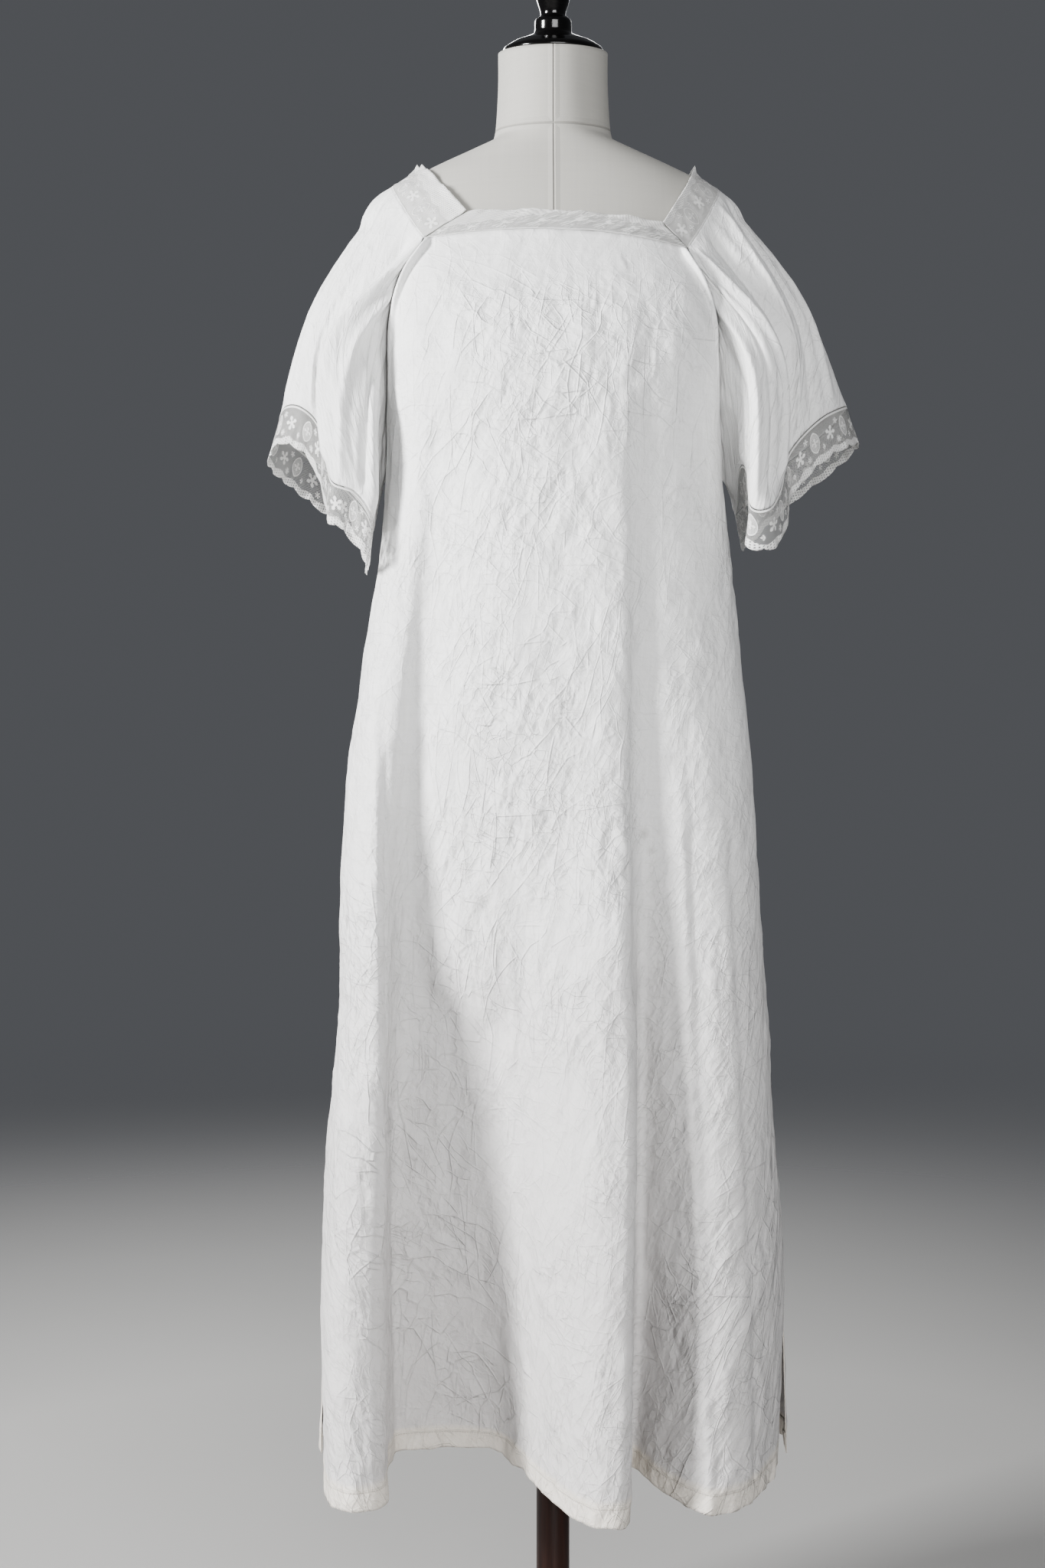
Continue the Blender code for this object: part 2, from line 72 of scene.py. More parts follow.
# Gaps and walls
SEAM_GAP = 0.0003
LINEN_WALL = 0.0007
CLOTH_STAND = 0.0045
LACE_STAND = 0.0022
ARMHOLE_STEP = 0.0014
SIDE_SEAM_Y = -0.010
LACE_WALL = 0.0004

# Height over the hem's edge past which the finish takes no notice of it
FAR_FROM_HEM = 0.1

# Length of the lace after which its flowers repeat
LACE_REPEAT = 0.044


class Side(Enum):
    """Which of the two long panels is meant."""

    FRONT = "front"
    BACK = "back"

    @property
    def lean(self) -> float:
        """Sign of the creases' lean, so that they run on round the side seams and don't mirror."""
        return 1.0 if self is Side.FRONT else -1.0


class Hand(Enum):
    """Which side of the dress is meant, as the viewer sees it."""

    LEFT = "left"
    RIGHT = "right"

    @property
    def outward(self) -> float:
        """Sign of X on this side."""
        return 1.0 if self is Hand.RIGHT else -1.0


# Where each piece lies along the length of linen, so that no two show the same creases
CLOTH_PLACES = {Side.FRONT: 0.0, Side.BACK: 3.3, Hand.LEFT: 6.1, Hand.RIGHT: 8.7}


class Ring(NamedTuple):
    """One level of the dress form."""

    height: float
    half_width: float
    front: float
    back: float


class Edge(NamedTuple):
    """Where the side edges of both panels run at one height."""

    height: float
    left_front: float
    left_back: float
    right_front: float
    right_back: float
    front_y: float
    back_y: float


class Fold(NamedTuple):
    """A crest, flank or valley of a panel at its bust, hip and hem."""

    bust_x: float
    bust_y: float
    hip_x: float
    hip_y: float
    hem_x: float
    hem_y: float


class Rib(NamedTuple):
    """A crest or valley of a sleeve: its place on the armhole, half way down, and at the cuff."""

    seam: float
    hang_x: float
    hang_y: float
    hang_z: float
    cuff_x: float
    cuff_y: float
    cuff_z: float


class Corner(NamedTuple):
    """A mitred corner of the neck band: its free edge and its seam with the linen."""

    inner: Triple
    seam: Triple


class Crease(NamedTuple):
    """A pressed crease: its middle, size, lean from upright and depth."""

    x: float
    z: float
    length: float
    width: float
    lean: float
    depth: float


class Drape(NamedTuple):
    """A long drape of a sleeve: its place and width in turns, and how far it stands out."""

    place: float
    width: float
    high: float
    low: float


class Ridge(NamedTuple):
    """The long edge of a fold: its two ends, its depth and how broad it is."""

    x_high: float
    z_high: float
    x_low: float
    z_low: float
    depth: float
    breadth: float

    def height_at(self, x: np.ndarray, z: np.ndarray) -> np.ndarray:
        """Stands out left of the edge and drops behind it.

        Args:
            x: Sideways place of each point.
            z: Height of each point.

        Returns:
            How far each point stands out.
        """
        down = np.clip((self.z_high - z) / (self.z_high - self.z_low), 0.0, 1.0)
        side = (x - mix(self.x_high, self.x_low, down)) / self.breadth
        front = np.where(side < 0, np.exp(-(side / 1.6) ** 2), 1 - 1.7 * np.clip(side, 0.0, 1.0))
        front = np.where(side > 1, -0.7 * np.exp(-((side - 1) / 1.8) ** 2), front)
        return self.depth * front * fade(self.z_high - z, 0.0, 0.16)


def fade(value: np.ndarray | float, start: float, end: float) -> np.ndarray | float:
    """Rises smoothly from 0 at start to 1 at end.

    Args:
        value: Number or array to weigh.
        start: Where the weight is 0.
        end: Where the weight is 1.

    Returns:
        The weight, 0 to 1.
    """
    t = np.clip((value - start) / (end - start), 0.0, 1.0)
    return t * t * (3 - 2 * t)


def mix(a: np.ndarray | float, b: np.ndarray | float, t: np.ndarray | float) -> np.ndarray | float:
    """Blends a into b as t goes from 0 to 1."""
    return a * (1 - t) + b * t


def curve_at(stations: Sequence[float], values: Sequence, where: float) -> np.ndarray:
    """Smooth curve through values at rising stations, held flat past its ends.

    Args:
        stations: Rising places of the values.
        values: A number or array at each station.
        where: Place to read.

    Returns:
        The value there.
    """
    values = [np.asarray(value, dtype=float) for value in values]
    if where <= stations[0]:
        return values[0]
    if where >= stations[-1]:
        return values[-1]
    last = len(stations) - 1
    index = next(i for i in range(last) if where <= stations[i + 1])

    def slope(i: int) -> np.ndarray:
        """Slope of the curve at a station."""
        low, high = max(i - 1, 0), min(i + 1, last)
        return (values[high] - values[low]) / (stations[high] - stations[low])

    span = stations[index + 1] - stations[index]
    t = (where - stations[index]) / span
    rise = t * t * (3 - 2 * t)
    lead = t * (1 - t) ** 2 * span
    trail = -t * t * (1 - t) * span
    ends = values[index] * (1 - rise) + values[index + 1] * rise
    return ends + slope(index) * lead + slope(index + 1) * trail


def through(points: np.ndarray, places: np.ndarray) -> np.ndarray:
    """Points on the smooth curve through points[1:-1]; the end points only steer it.

    Args:
        points: Rows of coordinates, with one steering row at each end.
        places: Places along the curve, 0 at points[1].

    Returns:
        A row of coordinates for each place.
    """
    index = np.minimum(places.astype(int), len(points) - 4)
    t = (places - index)[:, None]
    a, b, c, d = (points[index + step] for step in range(4))
    return 0.5 * (2 * b + (c - a) * t + (2 * a - 5 * b + 4 * c - d) * t ** 2
                  + (3 * b - a - 3 * c + d) * t ** 3)


def unit(rows: np.ndarray) -> np.ndarray:
    """Directions of rows of coordinates."""
    return rows / np.linalg.norm(rows, axis=1, keepdims=True)


def around(points: np.ndarray, turns: np.ndarray) -> np.ndarray:
    """Points on the smooth closed curve through points, turns 0 to 1."""
    looped = np.vstack([points[-1:], points, points[:3]])
    return through(looped, (turns % 1.0) * len(points))


def lattice(x: np.ndarray, y: np.ndarray, seed: int) -> np.ndarray:
    """Scatters fixed numbers over a grid.

    Args:
        x: Whole places across.
        y: Whole places up.
        seed: Which scatter.

    Returns:
        A number from -1 to 1 for each place.
    """
    ints = x.astype(np.int64) * 374761393 + y.astype(np.int64) * 668265263 + seed * 69069
    ints = ints & 0xFFFFFFFF
    ints = ((ints ^ (ints >> 13)) * 1274126177) & 0xFFFFFFFF
    ints = ((ints ^ (ints >> 16)) * 2246822519) & 0xFFFFFFFF
    return (ints ^ (ints >> 15)) / 0x7FFFFFFF - 1.0


def ripple(x: np.ndarray, y: np.ndarray, seed: int) -> np.ndarray:
    """Smooth unevenness that changes over about one unit.

    Args:
        x: Places across.
        y: Places up.
        seed: Which scatter it follows.

    Returns:
        A number from -1 to 1 for each place.
    """
    left, low = np.floor(x), np.floor(y)
    across, up = x - left, y - low
    across, up = across ** 2 * (3 - 2 * across), up ** 2 * (3 - 2 * up)
    rows = []
    for step in (0, 1):
        near = lattice(left, low + step, seed)
        far = lattice(left + 1, low + step, seed)
        rows.append(mix(near, far, across))
    return mix(rows[0], rows[1], up)


def creased(x: np.ndarray, y: np.ndarray, seed: int, sharp: float = 2.0) -> np.ndarray:
    """Sharp winding ridges between soft facets.

    Args:
        x: Places across.
        y: Places up.
        seed: Which scatter they follow.
        sharp: How narrow the ridges are.

    Returns:
        A number from 0 to 1 for each place.
    """
    bend = 0.6 * ripple(x * 0.5 + 7.3, y * 0.5 - 2.1, seed + 5)
    field_one = 1 - np.abs(ripple(x + bend, y - bend, seed))
    field_two = 1 - np.abs(ripple(x * 2.1 + 3.7, y * 2.1 + bend, seed + 1))
    return mix(field_one ** sharp, field_two ** sharp, 0.35)


def facets(x: np.ndarray, y: np.ndarray, seed: int) -> np.ndarray:
    """Cones that meet in sharp folds, about one a unit.

    Args:
        x: Places across.
        y: Places up.
        seed: Which scatter they follow.

    Returns:
        Distance of each place to the nearest scattered point.
    """
    left, low = np.floor(x), np.floor(y)
    nearest = np.full(np.broadcast(x, y).shape, 9.0)
    for across in (-1, 0, 1):
        for up in (-1, 0, 1):
            at_x, at_y = left + across, low + up
            spot_x = at_x + 0.5 + 0.48 * lattice(at_x, at_y, seed)
            spot_y = at_y + 0.5 + 0.48 * lattice(at_x, at_y, seed + 1)
            nearest = np.minimum(nearest, np.hypot(x - spot_x, y - spot_y))
    return nearest


class Wave(NamedTuple):
    """Smooth unevenness of cloth: its depth, its size across and down, and its seed."""

    depth: float
    across: float
    down: float
    seed: int

    def at(self, u: np.ndarray, v: np.ndarray, seed: int = 0) -> np.ndarray:
        """Height at places on the cloth."""
        return self.depth * ripple(u / self.across, v / self.down, self.seed + seed)


class MeshLayer(NamedTuple):
    """Creases of a panel's mesh that lean one way: lean, seed, share of the depth, and size."""

    lean: float
    seed: int
    share: float
    width: float
    length: float


MESH_LAYERS = (MeshLayer(24, 1, 1.0, 0.022, 0.052), MeshLayer(-28, 2, -1.0, 0.023, 0.054),
               MeshLayer(5, 3, 0.9, 0.020, 0.080), MeshLayer(-56, 4, -0.7, 0.019, 0.044))
BAND_RIPPLE = Wave(0.0008, 0.0065, 0.008, 80)
PANEL_SWAY = Wave(0.0013, 0.045, 0.16, 5)
PANEL_GATHERS = (Wave(0.0006, 0.0075, 0.05, 6), Wave(0.00036, 0.018, 0.07, 7))
HEM_PUCKER = Wave(1.0, 0.0125, 0.040, 8)
HEM_WAVES = (Wave(0.0018, 0.018, math.inf, 0), Wave(0.0007, 0.009, math.inf, 1))


def surface_normals(grid: np.ndarray, closed: bool = False) -> np.ndarray:
    """Unit normals of a grid of points, on the side that faces out of the dress.

    Args:
        grid: Rows, columns and coordinates of the sheet.
        closed: Whether the last column meets the first again.

    Returns:
        A normal for each point.
    """
    if closed:
        ring = np.concatenate([grid[:, -2:-1], grid, grid[:, 1:2]], axis=1)
        across = (ring[:, 2:] - ring[:, :-2])
    else:
        across = np.gradient(grid, axis=1)
    down = np.gradient(grid, axis=0)
    normals = np.cross(down, across)
    return normals / np.maximum(np.linalg.norm(normals, axis=2, keepdims=True), 1e-12)


def lengths_along(grid: np.ndarray, axis: int) -> np.ndarray:
    """Distance run along the rows (axis 1) or columns (axis 0) of a grid of points."""
    steps = np.linalg.norm(np.diff(grid, axis=axis), axis=2)
    start = np.zeros_like(grid[:, :1, 0] if axis == 1 else grid[:1, :, 0])
    return np.concatenate([start, np.cumsum(steps, axis=axis)], axis=axis)


def sheet_mesh(grid: np.ndarray, flat: tuple[np.ndarray, np.ndarray],
               masks: dict[str, np.ndarray] | None = None,
               closed: bool = False) -> bmesh.types.BMesh:
    """Makes the mesh of a sheet from a grid of points.

    Args:
        grid: Rows, columns and coordinates.
        flat: Cloth coordinates in metres, across and along, which become the UV map.
        masks: Named numbers at each point that the material reads.
        closed: Whether the last column meets the first again.

    Returns:
        The mesh.
    """
    rows, columns = grid.shape[0] - 1, grid.shape[1] - 1
    sheet = bmesh.new()
    bmesh.ops.create_grid(sheet, x_segments=columns, y_segments=rows, size=1.0)
    sheet.verts.ensure_lookup_table()
    places = [(round((1 - vertex.co.y) / 2 * rows), round((vertex.co.x + 1) / 2 * columns))
              for vertex in sheet.verts]
    layers = {key: sheet.verts.layers.float.new(key) for key in (masks or {})}
    uv = sheet.loops.layers.uv.new("UVMap")
    for vertex, (row, column) in zip(sheet.verts, places):
        vertex.co = grid[row, column]
        for key, layer in layers.items():
            vertex[layer] = float(masks[key][row, column])
    for face in sheet.faces:
        face.smooth = True
        for loop in face.loops:
            row, column = places[loop.vert.index]
            loop[uv].uv = (float(flat[0][row, column]), float(flat[1][row, column]))
    if closed:
        bmesh.ops.remove_doubles(sheet, verts=sheet.verts, dist=1e-6)
    return sheet


def sheet_object(name: str, grid: np.ndarray, flat: tuple[np.ndarray, np.ndarray],
                 masks: dict[str, np.ndarray] | None = None,
                 closed: bool = False) -> bpy.types.Object:
    """Puts a sheet of cloth into the scene, made as by sheet_mesh."""
    return linked(name, sheet_mesh(grid, flat, masks, closed))


def linked(name: str, mesh: bmesh.types.BMesh) -> bpy.types.Object:
    """Puts a finished mesh into the scene and frees it.

    Args:
        name: Name of the object.
        mesh: Its mesh.

    Returns:
        The new object.
    """
    data = bpy.data.meshes.new(name)
    mesh.to_mesh(data)
    mesh.free()
    item = bpy.data.objects.new(name, data)
    bpy.context.scene.collection.objects.link(item)
    return item


def walled(item: bpy.types.Object, thickness: float) -> bpy.types.Object:
    """Gives a sheet its thickness, half on each side.

    Args:
        item: The sheet.
        thickness: Its thickness.

    Returns:
        The same sheet.
    """
    wall = item.modifiers.new("wall", "SOLIDIFY")
    wall.thickness = thickness
    wall.offset = 0.0
    return item


def table(kind: type[NamedTuple], rows: Iterable[Sequence[float]],
          plain: Sequence[str] = ()) -> tuple[NamedTuple, ...]:
    """Reads rows that are written in millimetres.

    Args:
        kind: What each row describes.
        rows: Values in the order of its fields.
        plain: Fields that are not lengths.

    Returns:
        The rows, with their lengths in metres.
    """
    units = [1 if name in plain else 1000 for name in kind._fields]
    return tuple(kind(*(value / unit for value, unit in zip(row, units))) for row in rows)


# Levels of the dress form, from its lower end to the top of its neck: height, half width,
# front and back
TORSO_RINGS = table(Ring, (
    (780, 166, 103, 117), (870, 173, 108, 124), (960, 172, 108, 126), (1030, 160, 102, 116),
    (1100, 138, 94, 98), (1170, 123, 88, 87), (1240, 131, 98, 92), (1300, 142, 113, 99),
    (1350, 149, 122, 104), (1400, 158, 117, 106), (1450, 175, 104, 104), (1490, 188, 91, 98),
    (1520, 190, 83, 91), (1545, 176, 76, 83), (1563, 152, 70, 76), (1578, 122, 64, 70),
    (1592, 90, 59.5, 66), (1603, 65, 57.8, 61.5), (1612, 59.7, 56.8, 59), (1630, 57.5, 56.2, 57.5),
    (1665, 55.8, 55.8, 55.8), (1697, 55.8, 55.8, 55.8),
))

# The cloth falls inward slowly below the form, as if these rings carried it
FALL_RINGS = table(Ring, (
    (600, 85, 20, 30), (680, 128, 66, 80), (735, 154, 92, 106),
))

# Raglan seams above the armpit, side seams below it, slits at the bottom: height, left edge
# of front and back, right edge of front and back, and how far forward each runs
SIDE_EDGES = table(Edge, (
    (262, -226, -235, 226, 236.5, -21, -10), (400, -232.2, -232.4, 232.8, 233.2, -10, -10),
    (480, -232.5, -232.5, 233, 233, -10, -10), (590, -228.5, -228.5, 224.5, 224.5, -10, -10),
    (720, -215, -215, 216.5, 216.5, -10, -10), (850, -214, -214, 207.5, 207.5, -10, -10),
    (980, -205.5, -205.5, 199, 199, -10, -10), (1070, -192, -192, 190, 190, -10, -10),
    (1170, -175, -175, 178, 178, -10, -10), (1260, -168, -168, 169, 169, -10, -10),
    (1340, -165, -165, 163, 163, -42, 46), (1410, -162, -163, 160, 162, -64, 64),
    (1450, -150, -156, 149, 156, -70, 70), (1485, -127, -139, 130, 142, -70, 73),
    (1512, -126, -125, 129, 127, -70, 73),
))

# One row for each crest, flank and valley of the cloth, from the left side seam to the right
# one: its place across and in depth at the bust, the hip and the hem
FRONT_FOLDS = table(Fold, (
    (-164, -42, -212, -10, -230, -20), (-159, -70, -207, -60, -226, -85),
    (-149, -92, -192, -92, -214, -124), (-136, -106, -174, -104, -191, -136),
    (-122, -114, -159, -102, -168, -118), (-108, -119, -149, -86, -171, -55),
    (-94, -124, -136, -82, -163, -12), (-76, -129, -112, -92, -130, 4),
    (-56, -133, -85, -104, -95, 6), (-37, -135, -58, -112, -60, -6),
    (-20, -136, -36, -117, -36, -38), (-4, -136, -14, -121, -18, -82), (12, -136, 8, -124, 1, -122),
    (28, -136, 30, -128, 21, -154), (44, -135, 50, -130, 42, -170), (60, -133, 68, -126, 65, -158),
    (74, -129, 75, -111, 70, -98), (88, -123, 87, -103, 76, -44), (103, -118, 108, -107, 98, -84),
    (118, -112, 130, -106, 122, -121), (133, -103, 153, -99, 149, -140),
    (147, -89, 178, -82, 182, -121), (157, -68, 194, -52, 209, -76), (160, -42, 200, -10, 226, -20),
))

BACK_FOLDS = table(Fold, (
    (-164, 46, -212, -10, -235, -15), (-160, 66, -213, 36, -240, 42),
    (-151, 83, -202, 76, -226, 94), (-139, 95, -183, 102, -198, 119),
    (-125, 103, -161, 110, -167, 102), (-110, 108, -140, 112, -143, 64),
    (-94, 111, -118, 124, -112, 84), (-76, 114, -94, 137, -85, 138), (-55, 116, -68, 147, -51, 166),
    (-30, 117, -36, 146, -17, 138), (-5, 117, -6, 139, 8, 82), (22, 117, 24, 143, 34, 98),
    (48, 116, 56, 150, 67, 150), (73, 114, 88, 147, 102, 168), (96, 110, 116, 134, 134, 134),
    (116, 105, 142, 116, 156, 82), (133, 96, 165, 102, 182, 90), (147, 83, 186, 80, 213, 102),
    (157, 66, 200, 40, 241, 62), (160, 46, 200, -10, 236.5, -15),
))

# Corners of the lace neck band
BAND_CORNERS = {
    "front_left": Corner((-0.084, -0.076, 1.512), (-0.126, -0.069, 1.4905)),
    "shoulder_left": Corner((-0.136, 0.000, 1.580), (-0.161, 0.000, 1.560)),
    "back_left": Corner((-0.090, 0.073, 1.545), (-0.124, 0.072, 1.512)),
    "back_right": Corner((0.094, 0.073, 1.543), (0.126, 0.072, 1.510)),
    "shoulder_right": Corner((0.141, 0.000, 1.576), (0.164, 0.000, 1.557)),
    "front_right": Corner((0.1045, -0.073, 1.502), (0.1295, -0.068, 1.4805)),
}

STRIPS: dict[str, tuple[str, ...]] = {
    "front": ("front_left", "front_right"),
    "left": ("front_left", "shoulder_left", "back_left"),
    "back": ("back_left", "back_right"),
    "right": ("front_right", "shoulder_right", "back_right"),
}

# One row for each crest and valley of a sleeve. Column seam is the place on the armhole where
# it starts: 0 at the armpit, 1 at the front lace corner, 2 at the back one, 3 at the armpit again
LEFT_RIBS = table(Rib, (
    (0, -178, -10, 1236, -184, -12, 1206), (0.25, -179, -56, 1276, -181, -60, 1204),
    (0.5, -172, -94, 1318, -175, -99, 1212), (0.72, -188, -98, 1352, -192, -101, 1236),
    (0.9, -213, -95, 1372, -214, -98, 1246), (1.05, -221, -70, 1386, -223, -70, 1268),
    (1.2, -226, -48, 1402, -234, -46, 1312), (1.32, -233, -40, 1425, -252, -42, 1330),
    (1.42, -238, -24, 1440, -269, -28, 1333), (1.52, -240, 0, 1436, -279, 0, 1323),
    (1.62, -236, 25, 1425, -277, 24, 1314), (1.74, -228, 46, 1405, -266, 44, 1306),
    (1.9, -220, 64, 1390, -252, 56, 1295), (2.1, -210, 80, 1370, -234, 66, 1280),
    (2.32, -197, 88, 1335, -213, 72, 1262), (2.56, -186, 78, 1300, -195, 64, 1240),
    (2.8, -180, 42, 1266, -187, 30, 1218),
), plain=("seam",))

RIGHT_RIBS = table(Rib, (
    (0, 179, -10, 1252, 186, -12, 1240), (0.22, 180, -44, 1300, 185, -44, 1268),
    (0.46, 183, -74, 1328, 188, -74, 1262), (0.7, 189, -93, 1348, 190, -94, 1224),
    (0.9, 205, -92, 1366, 208, -94, 1222), (1.04, 217, -72, 1386, 222, -74, 1244),
    (1.18, 228, -53, 1402, 232, -53, 1280), (1.3, 237, -46, 1418, 248, -50, 1302),
    (1.4, 246, -36, 1432, 268, -44, 1320), (1.48, 253, -20, 1438, 288, -26, 1332),
    (1.56, 255, 0, 1436, 299, 0, 1338), (1.66, 250, 24, 1428, 294, 25, 1330),
    (1.8, 240, 46, 1412, 274, 46, 1312), (1.96, 226, 64, 1392, 248, 60, 1292),
    (2.2, 208, 80, 1355, 222, 68, 1268), (2.5, 191, 72, 1310, 200, 54, 1245),
    (2.78, 183, 36, 1270, 188, 22, 1232),
), plain=("seam",))

# Drapes of each sleeve, placed around from the armpit by the front. The last two numbers are
# their heights at the upper and the lower end, negative for a valley
LEFT_DRAPES = table(Drape, (
    (0.105, 0.011, 1, 3), (0.15, 0.013, -2, -4), (0.205, 0.01, 3.5, 3), (0.262, 0.012, 4.5, 5),
    (0.312, 0.017, -6, -6.5), (0.372, 0.012, 2.5, 4), (0.425, 0.011, -2, -3), (0.48, 0.013, 2.2, 2),
    (0.6, 0.014, 3, 3.5), (0.668, 0.015, -3.5, -4), (0.742, 0.012, 3, 3.5), (0.82, 0.013, -2.5, -3),
), plain=("place", "width"))
RIGHT_DRAPES = table(Drape, (
    (0.095, 0.012, 1, 2.5), (0.148, 0.011, -2.5, -4), (0.196, 0.01, 4, 3.5),
    (0.238, 0.009, -3, -3.5), (0.283, 0.012, 5.5, 6), (0.336, 0.015, -6.5, -6),
    (0.392, 0.01, 3.5, 2.5), (0.436, 0.012, -2.5, -2), (0.5, 0.014, 2, 3),
    (0.61, 0.015, -3.5, -3.5), (0.69, 0.013, 3.5, 4), (0.775, 0.012, -3, -3.5),
), plain=("place", "width"))

# Outline of the black cap, from the tip of its knob down to its seat
CAP_PROFILE = (
    (0.0000, 0.0840), (0.0090, 0.0825), (0.0170, 0.0760), (0.0205, 0.0665), (0.0172, 0.0530),
    (0.0128, 0.0400), (0.0128, 0.0365), (0.0187, 0.0325), (0.0187, 0.0200), (0.0260, 0.0165),
    (0.0400, 0.0115), (0.0500, 0.0055), (0.0515, 0.0020), (0.0505, 0.0000), (0.0000, 0.0000),
)

# Creases pressed in the front while it lay folded: place across, height, length, width, lean
# from upright in degrees, and depth
FRONT_CREASES = table(Crease, (
    (-45, 1387, 44, 2.3, -1, 1.1), (-36, 1389, 19, 2.2, -46, 1), (-52, 1390, 17, 2.2, 44, 0.9),
    (35, 1411, 34, 2.2, -22, 1.1), (28, 1409, 26, 2.2, -7, 0.9), (45, 1429, 16, 2.2, -32, 0.7),
    (2, 1348, 33, 2.2, 34, 1), (2, 1353, 23, 2.2, -40, 0.8), (25, 1365, 22, 2.2, 48, 0.8),
    (21, 1347, 38, 2.2, -14, 1), (44, 1327, 46, 2.2, 29, 1), (73, 1364, 24, 2.2, -61, 0.9),
    (-14, 1317, 25, 2.2, -77, 1.1), (5, 1310, 24, 2.2, 32, 0.9), (39, 1302, 40, 2.2, 30, 1),
    (24, 1307, 23, 2.2, -51, 0.8), (-4, 1256, 59, 2.3, 30, 1.1), (20, 1224, 19, 2.2, -49, 1),
    (14, 1249, 30, 2.2, 11, 0.8), (-26, 1274, 26, 2.2, -34, 0.7), (48, 1270, 29, 2.2, 4, 0.7),
    (66, 1283, 34, 2.2, -13, 0.7), (91, 1267, 37, 2.2, -11, 0.7), (11, 1188, 44, 2.2, 42, 0.8),
    (-14, 1170, 45, 2.3, 27, 0.9), (33, 1202, 28, 2.2, 16, 0.9), (49, 1165, 34, 2.2, 32, 0.8),
    (15, 1119, 41, 2.3, 10, 0.7), (-24, 1099, 38, 2.3, -17, 0.7), (31, 1103, 44, 2.3, -5, 0.7),
    (63, 1079, 43, 2.3, 22, 0.8), (-0, 1033, 33, 2.5, 27, 1), (-0, 1028, 26, 2.2, 56, 0.9),
    (-40, 1066, 39, 2.3, 22, 0.7), (-98, 1082, 14, 2.2, 35, 0.7), (-129, 1238, 24, 2.3, 27, 0.6),
    (-108, 1183, 31, 2.3, 21, 0.6), (-82, 1254, 28, 2.2, 23, 0.6), (-67, 1223, 37, 2.3, -6, 0.6),
    (-80, 1292, 16, 2.2, 27, 0.7), (77, 1139, 44, 2.3, -9, 0.6), (66, 1205, 30, 2.2, 14, 0.7),
    (-49, 1338, 26, 2.2, 45, 0.9), (-82, 1422, 21, 2.2, -31, 0.7), (-15, 1438, 16, 2.2, -27, 0.6),
    (65, 1457, 16, 2.2, 36, 0.8), (25, 1467, 19, 2.2, -50, 0.7), (-66, 1460, 23, 2.2, 18, 0.7),
    (-36, 1427, 16, 2.2, 27, 0.7), (73, 1385, 29, 2.2, -30, 0.8), (93, 1354, 37, 2.2, -6, 0.7),
    (58, 1403, 24, 2.2, -63, 0.8), (-46, 728, 130, 3.5, 1, 0.6), (34, 860, 51, 2.3, 29, 0.9),
    (55, 824, 33, 2.3, 30, 0.8), (-18, 761, 36, 2.3, 27, 0.7), (43, 737, 54, 2.5, 27, 0.9),
    (36, 623, 50, 2.5, 14, 1.1), (38, 621, 43, 2.3, -49, 0.9), (-12, 589, 87, 3.3, 53, 1),
    (-30, 552, 32, 2.3, 50, 0.9), (-26, 532, 71, 3, 66, 0.7), (51, 587, 44, 2.3, 22, 1),
    (38, 552, 38, 2.3, -58, 0.8), (-186, 791, 24, 2.2, -59, 0.8), (-188, 712, 29, 2.3, -56, 0.8),
    (-190, 623, 22, 2.2, -68, 0.8), (-203, 554, 32, 2.3, 40, 0.8), (-188, 514, 34, 2.3, -45, 0.8),
    (-203, 441, 26, 2.3, 51, 0.8), (-192, 376, 47, 2.5, -59, 0.7), (126, 923, 49, 2.3, 5, 0.7),
    (134, 856, 17, 2.2, 45, 0.9), (148, 763, 69, 2.8, -7, 0.6), (140, 668, 47, 2.5, 31, 0.7),
    (103, 716, 57, 2.5, -8, 0.6), (184, 494, 36, 2.5, -63, 0.7), (6, 384, 40, 2.5, -53, 0.6),
    (-8, 344, 49, 2.5, 35, 0.6), (-18, 427, 49, 2.5, 85, 0.6), (38, 451, 40, 2.5, 24, 0.8),
    (-105, 465, 61, 2.8, 82, 0.4), (111, 617, 38, 2.3, 58, 0.7), (111, 481, 40, 2.5, -53, 0.6),
), plain=("lean",))

# Long edges of the front's folds: upper end, lower end, depth and breadth
FRONT_RIDGES = table(Ridge, (
    (-172, 1060, -164, 150, 4, 7), (75, 830, 64.5, 120, 4.8, 7), (118, 1030, 148, 260, 2.2, 7),
    (160, 980, 186, 420, 1.8, 6), (-106, 900, -118, 330, 1.2, 8),
))


def tent(rows: np.ndarray) -> np.ndarray:
    """Averages each row with its two neighbours."""
    return 0.25 * rows[:-2] + 0.5 * rows[1:-1] + 0.25 * rows[2:]


def pressed(creases: Iterable[Crease], x: np.ndarray, z: np.ndarray) -> np.ndarray:
    """Height of listed creases: a sharp ridge with a shallow dip along one side.

    Args:
        creases: The creases.
        x: Sideways place of each point.
        z: Height of each point.

    Returns:
        How far each point stands out of the smooth cloth.
    """
    height = np.zeros_like(x)
    for crease in creases:
        lean = math.radians(crease.lean)
        side, rise = x - crease.x, z - crease.z
        along = side * math.sin(lean) - rise * math.cos(lean)
        bow = 0.06 * crease.length * np.cos(along / crease.length * math.pi)
        across = (side * math.cos(lean) + rise * math.sin(lean) - bow) / crease.width
        ends = np.clip(1 - (2 * along / crease.length) ** 2, 0, 1)
        height += crease.depth * ends * (np.exp(-across ** 2) - 0.5 * np.exp(-(across - 1.7) ** 2))
    return height


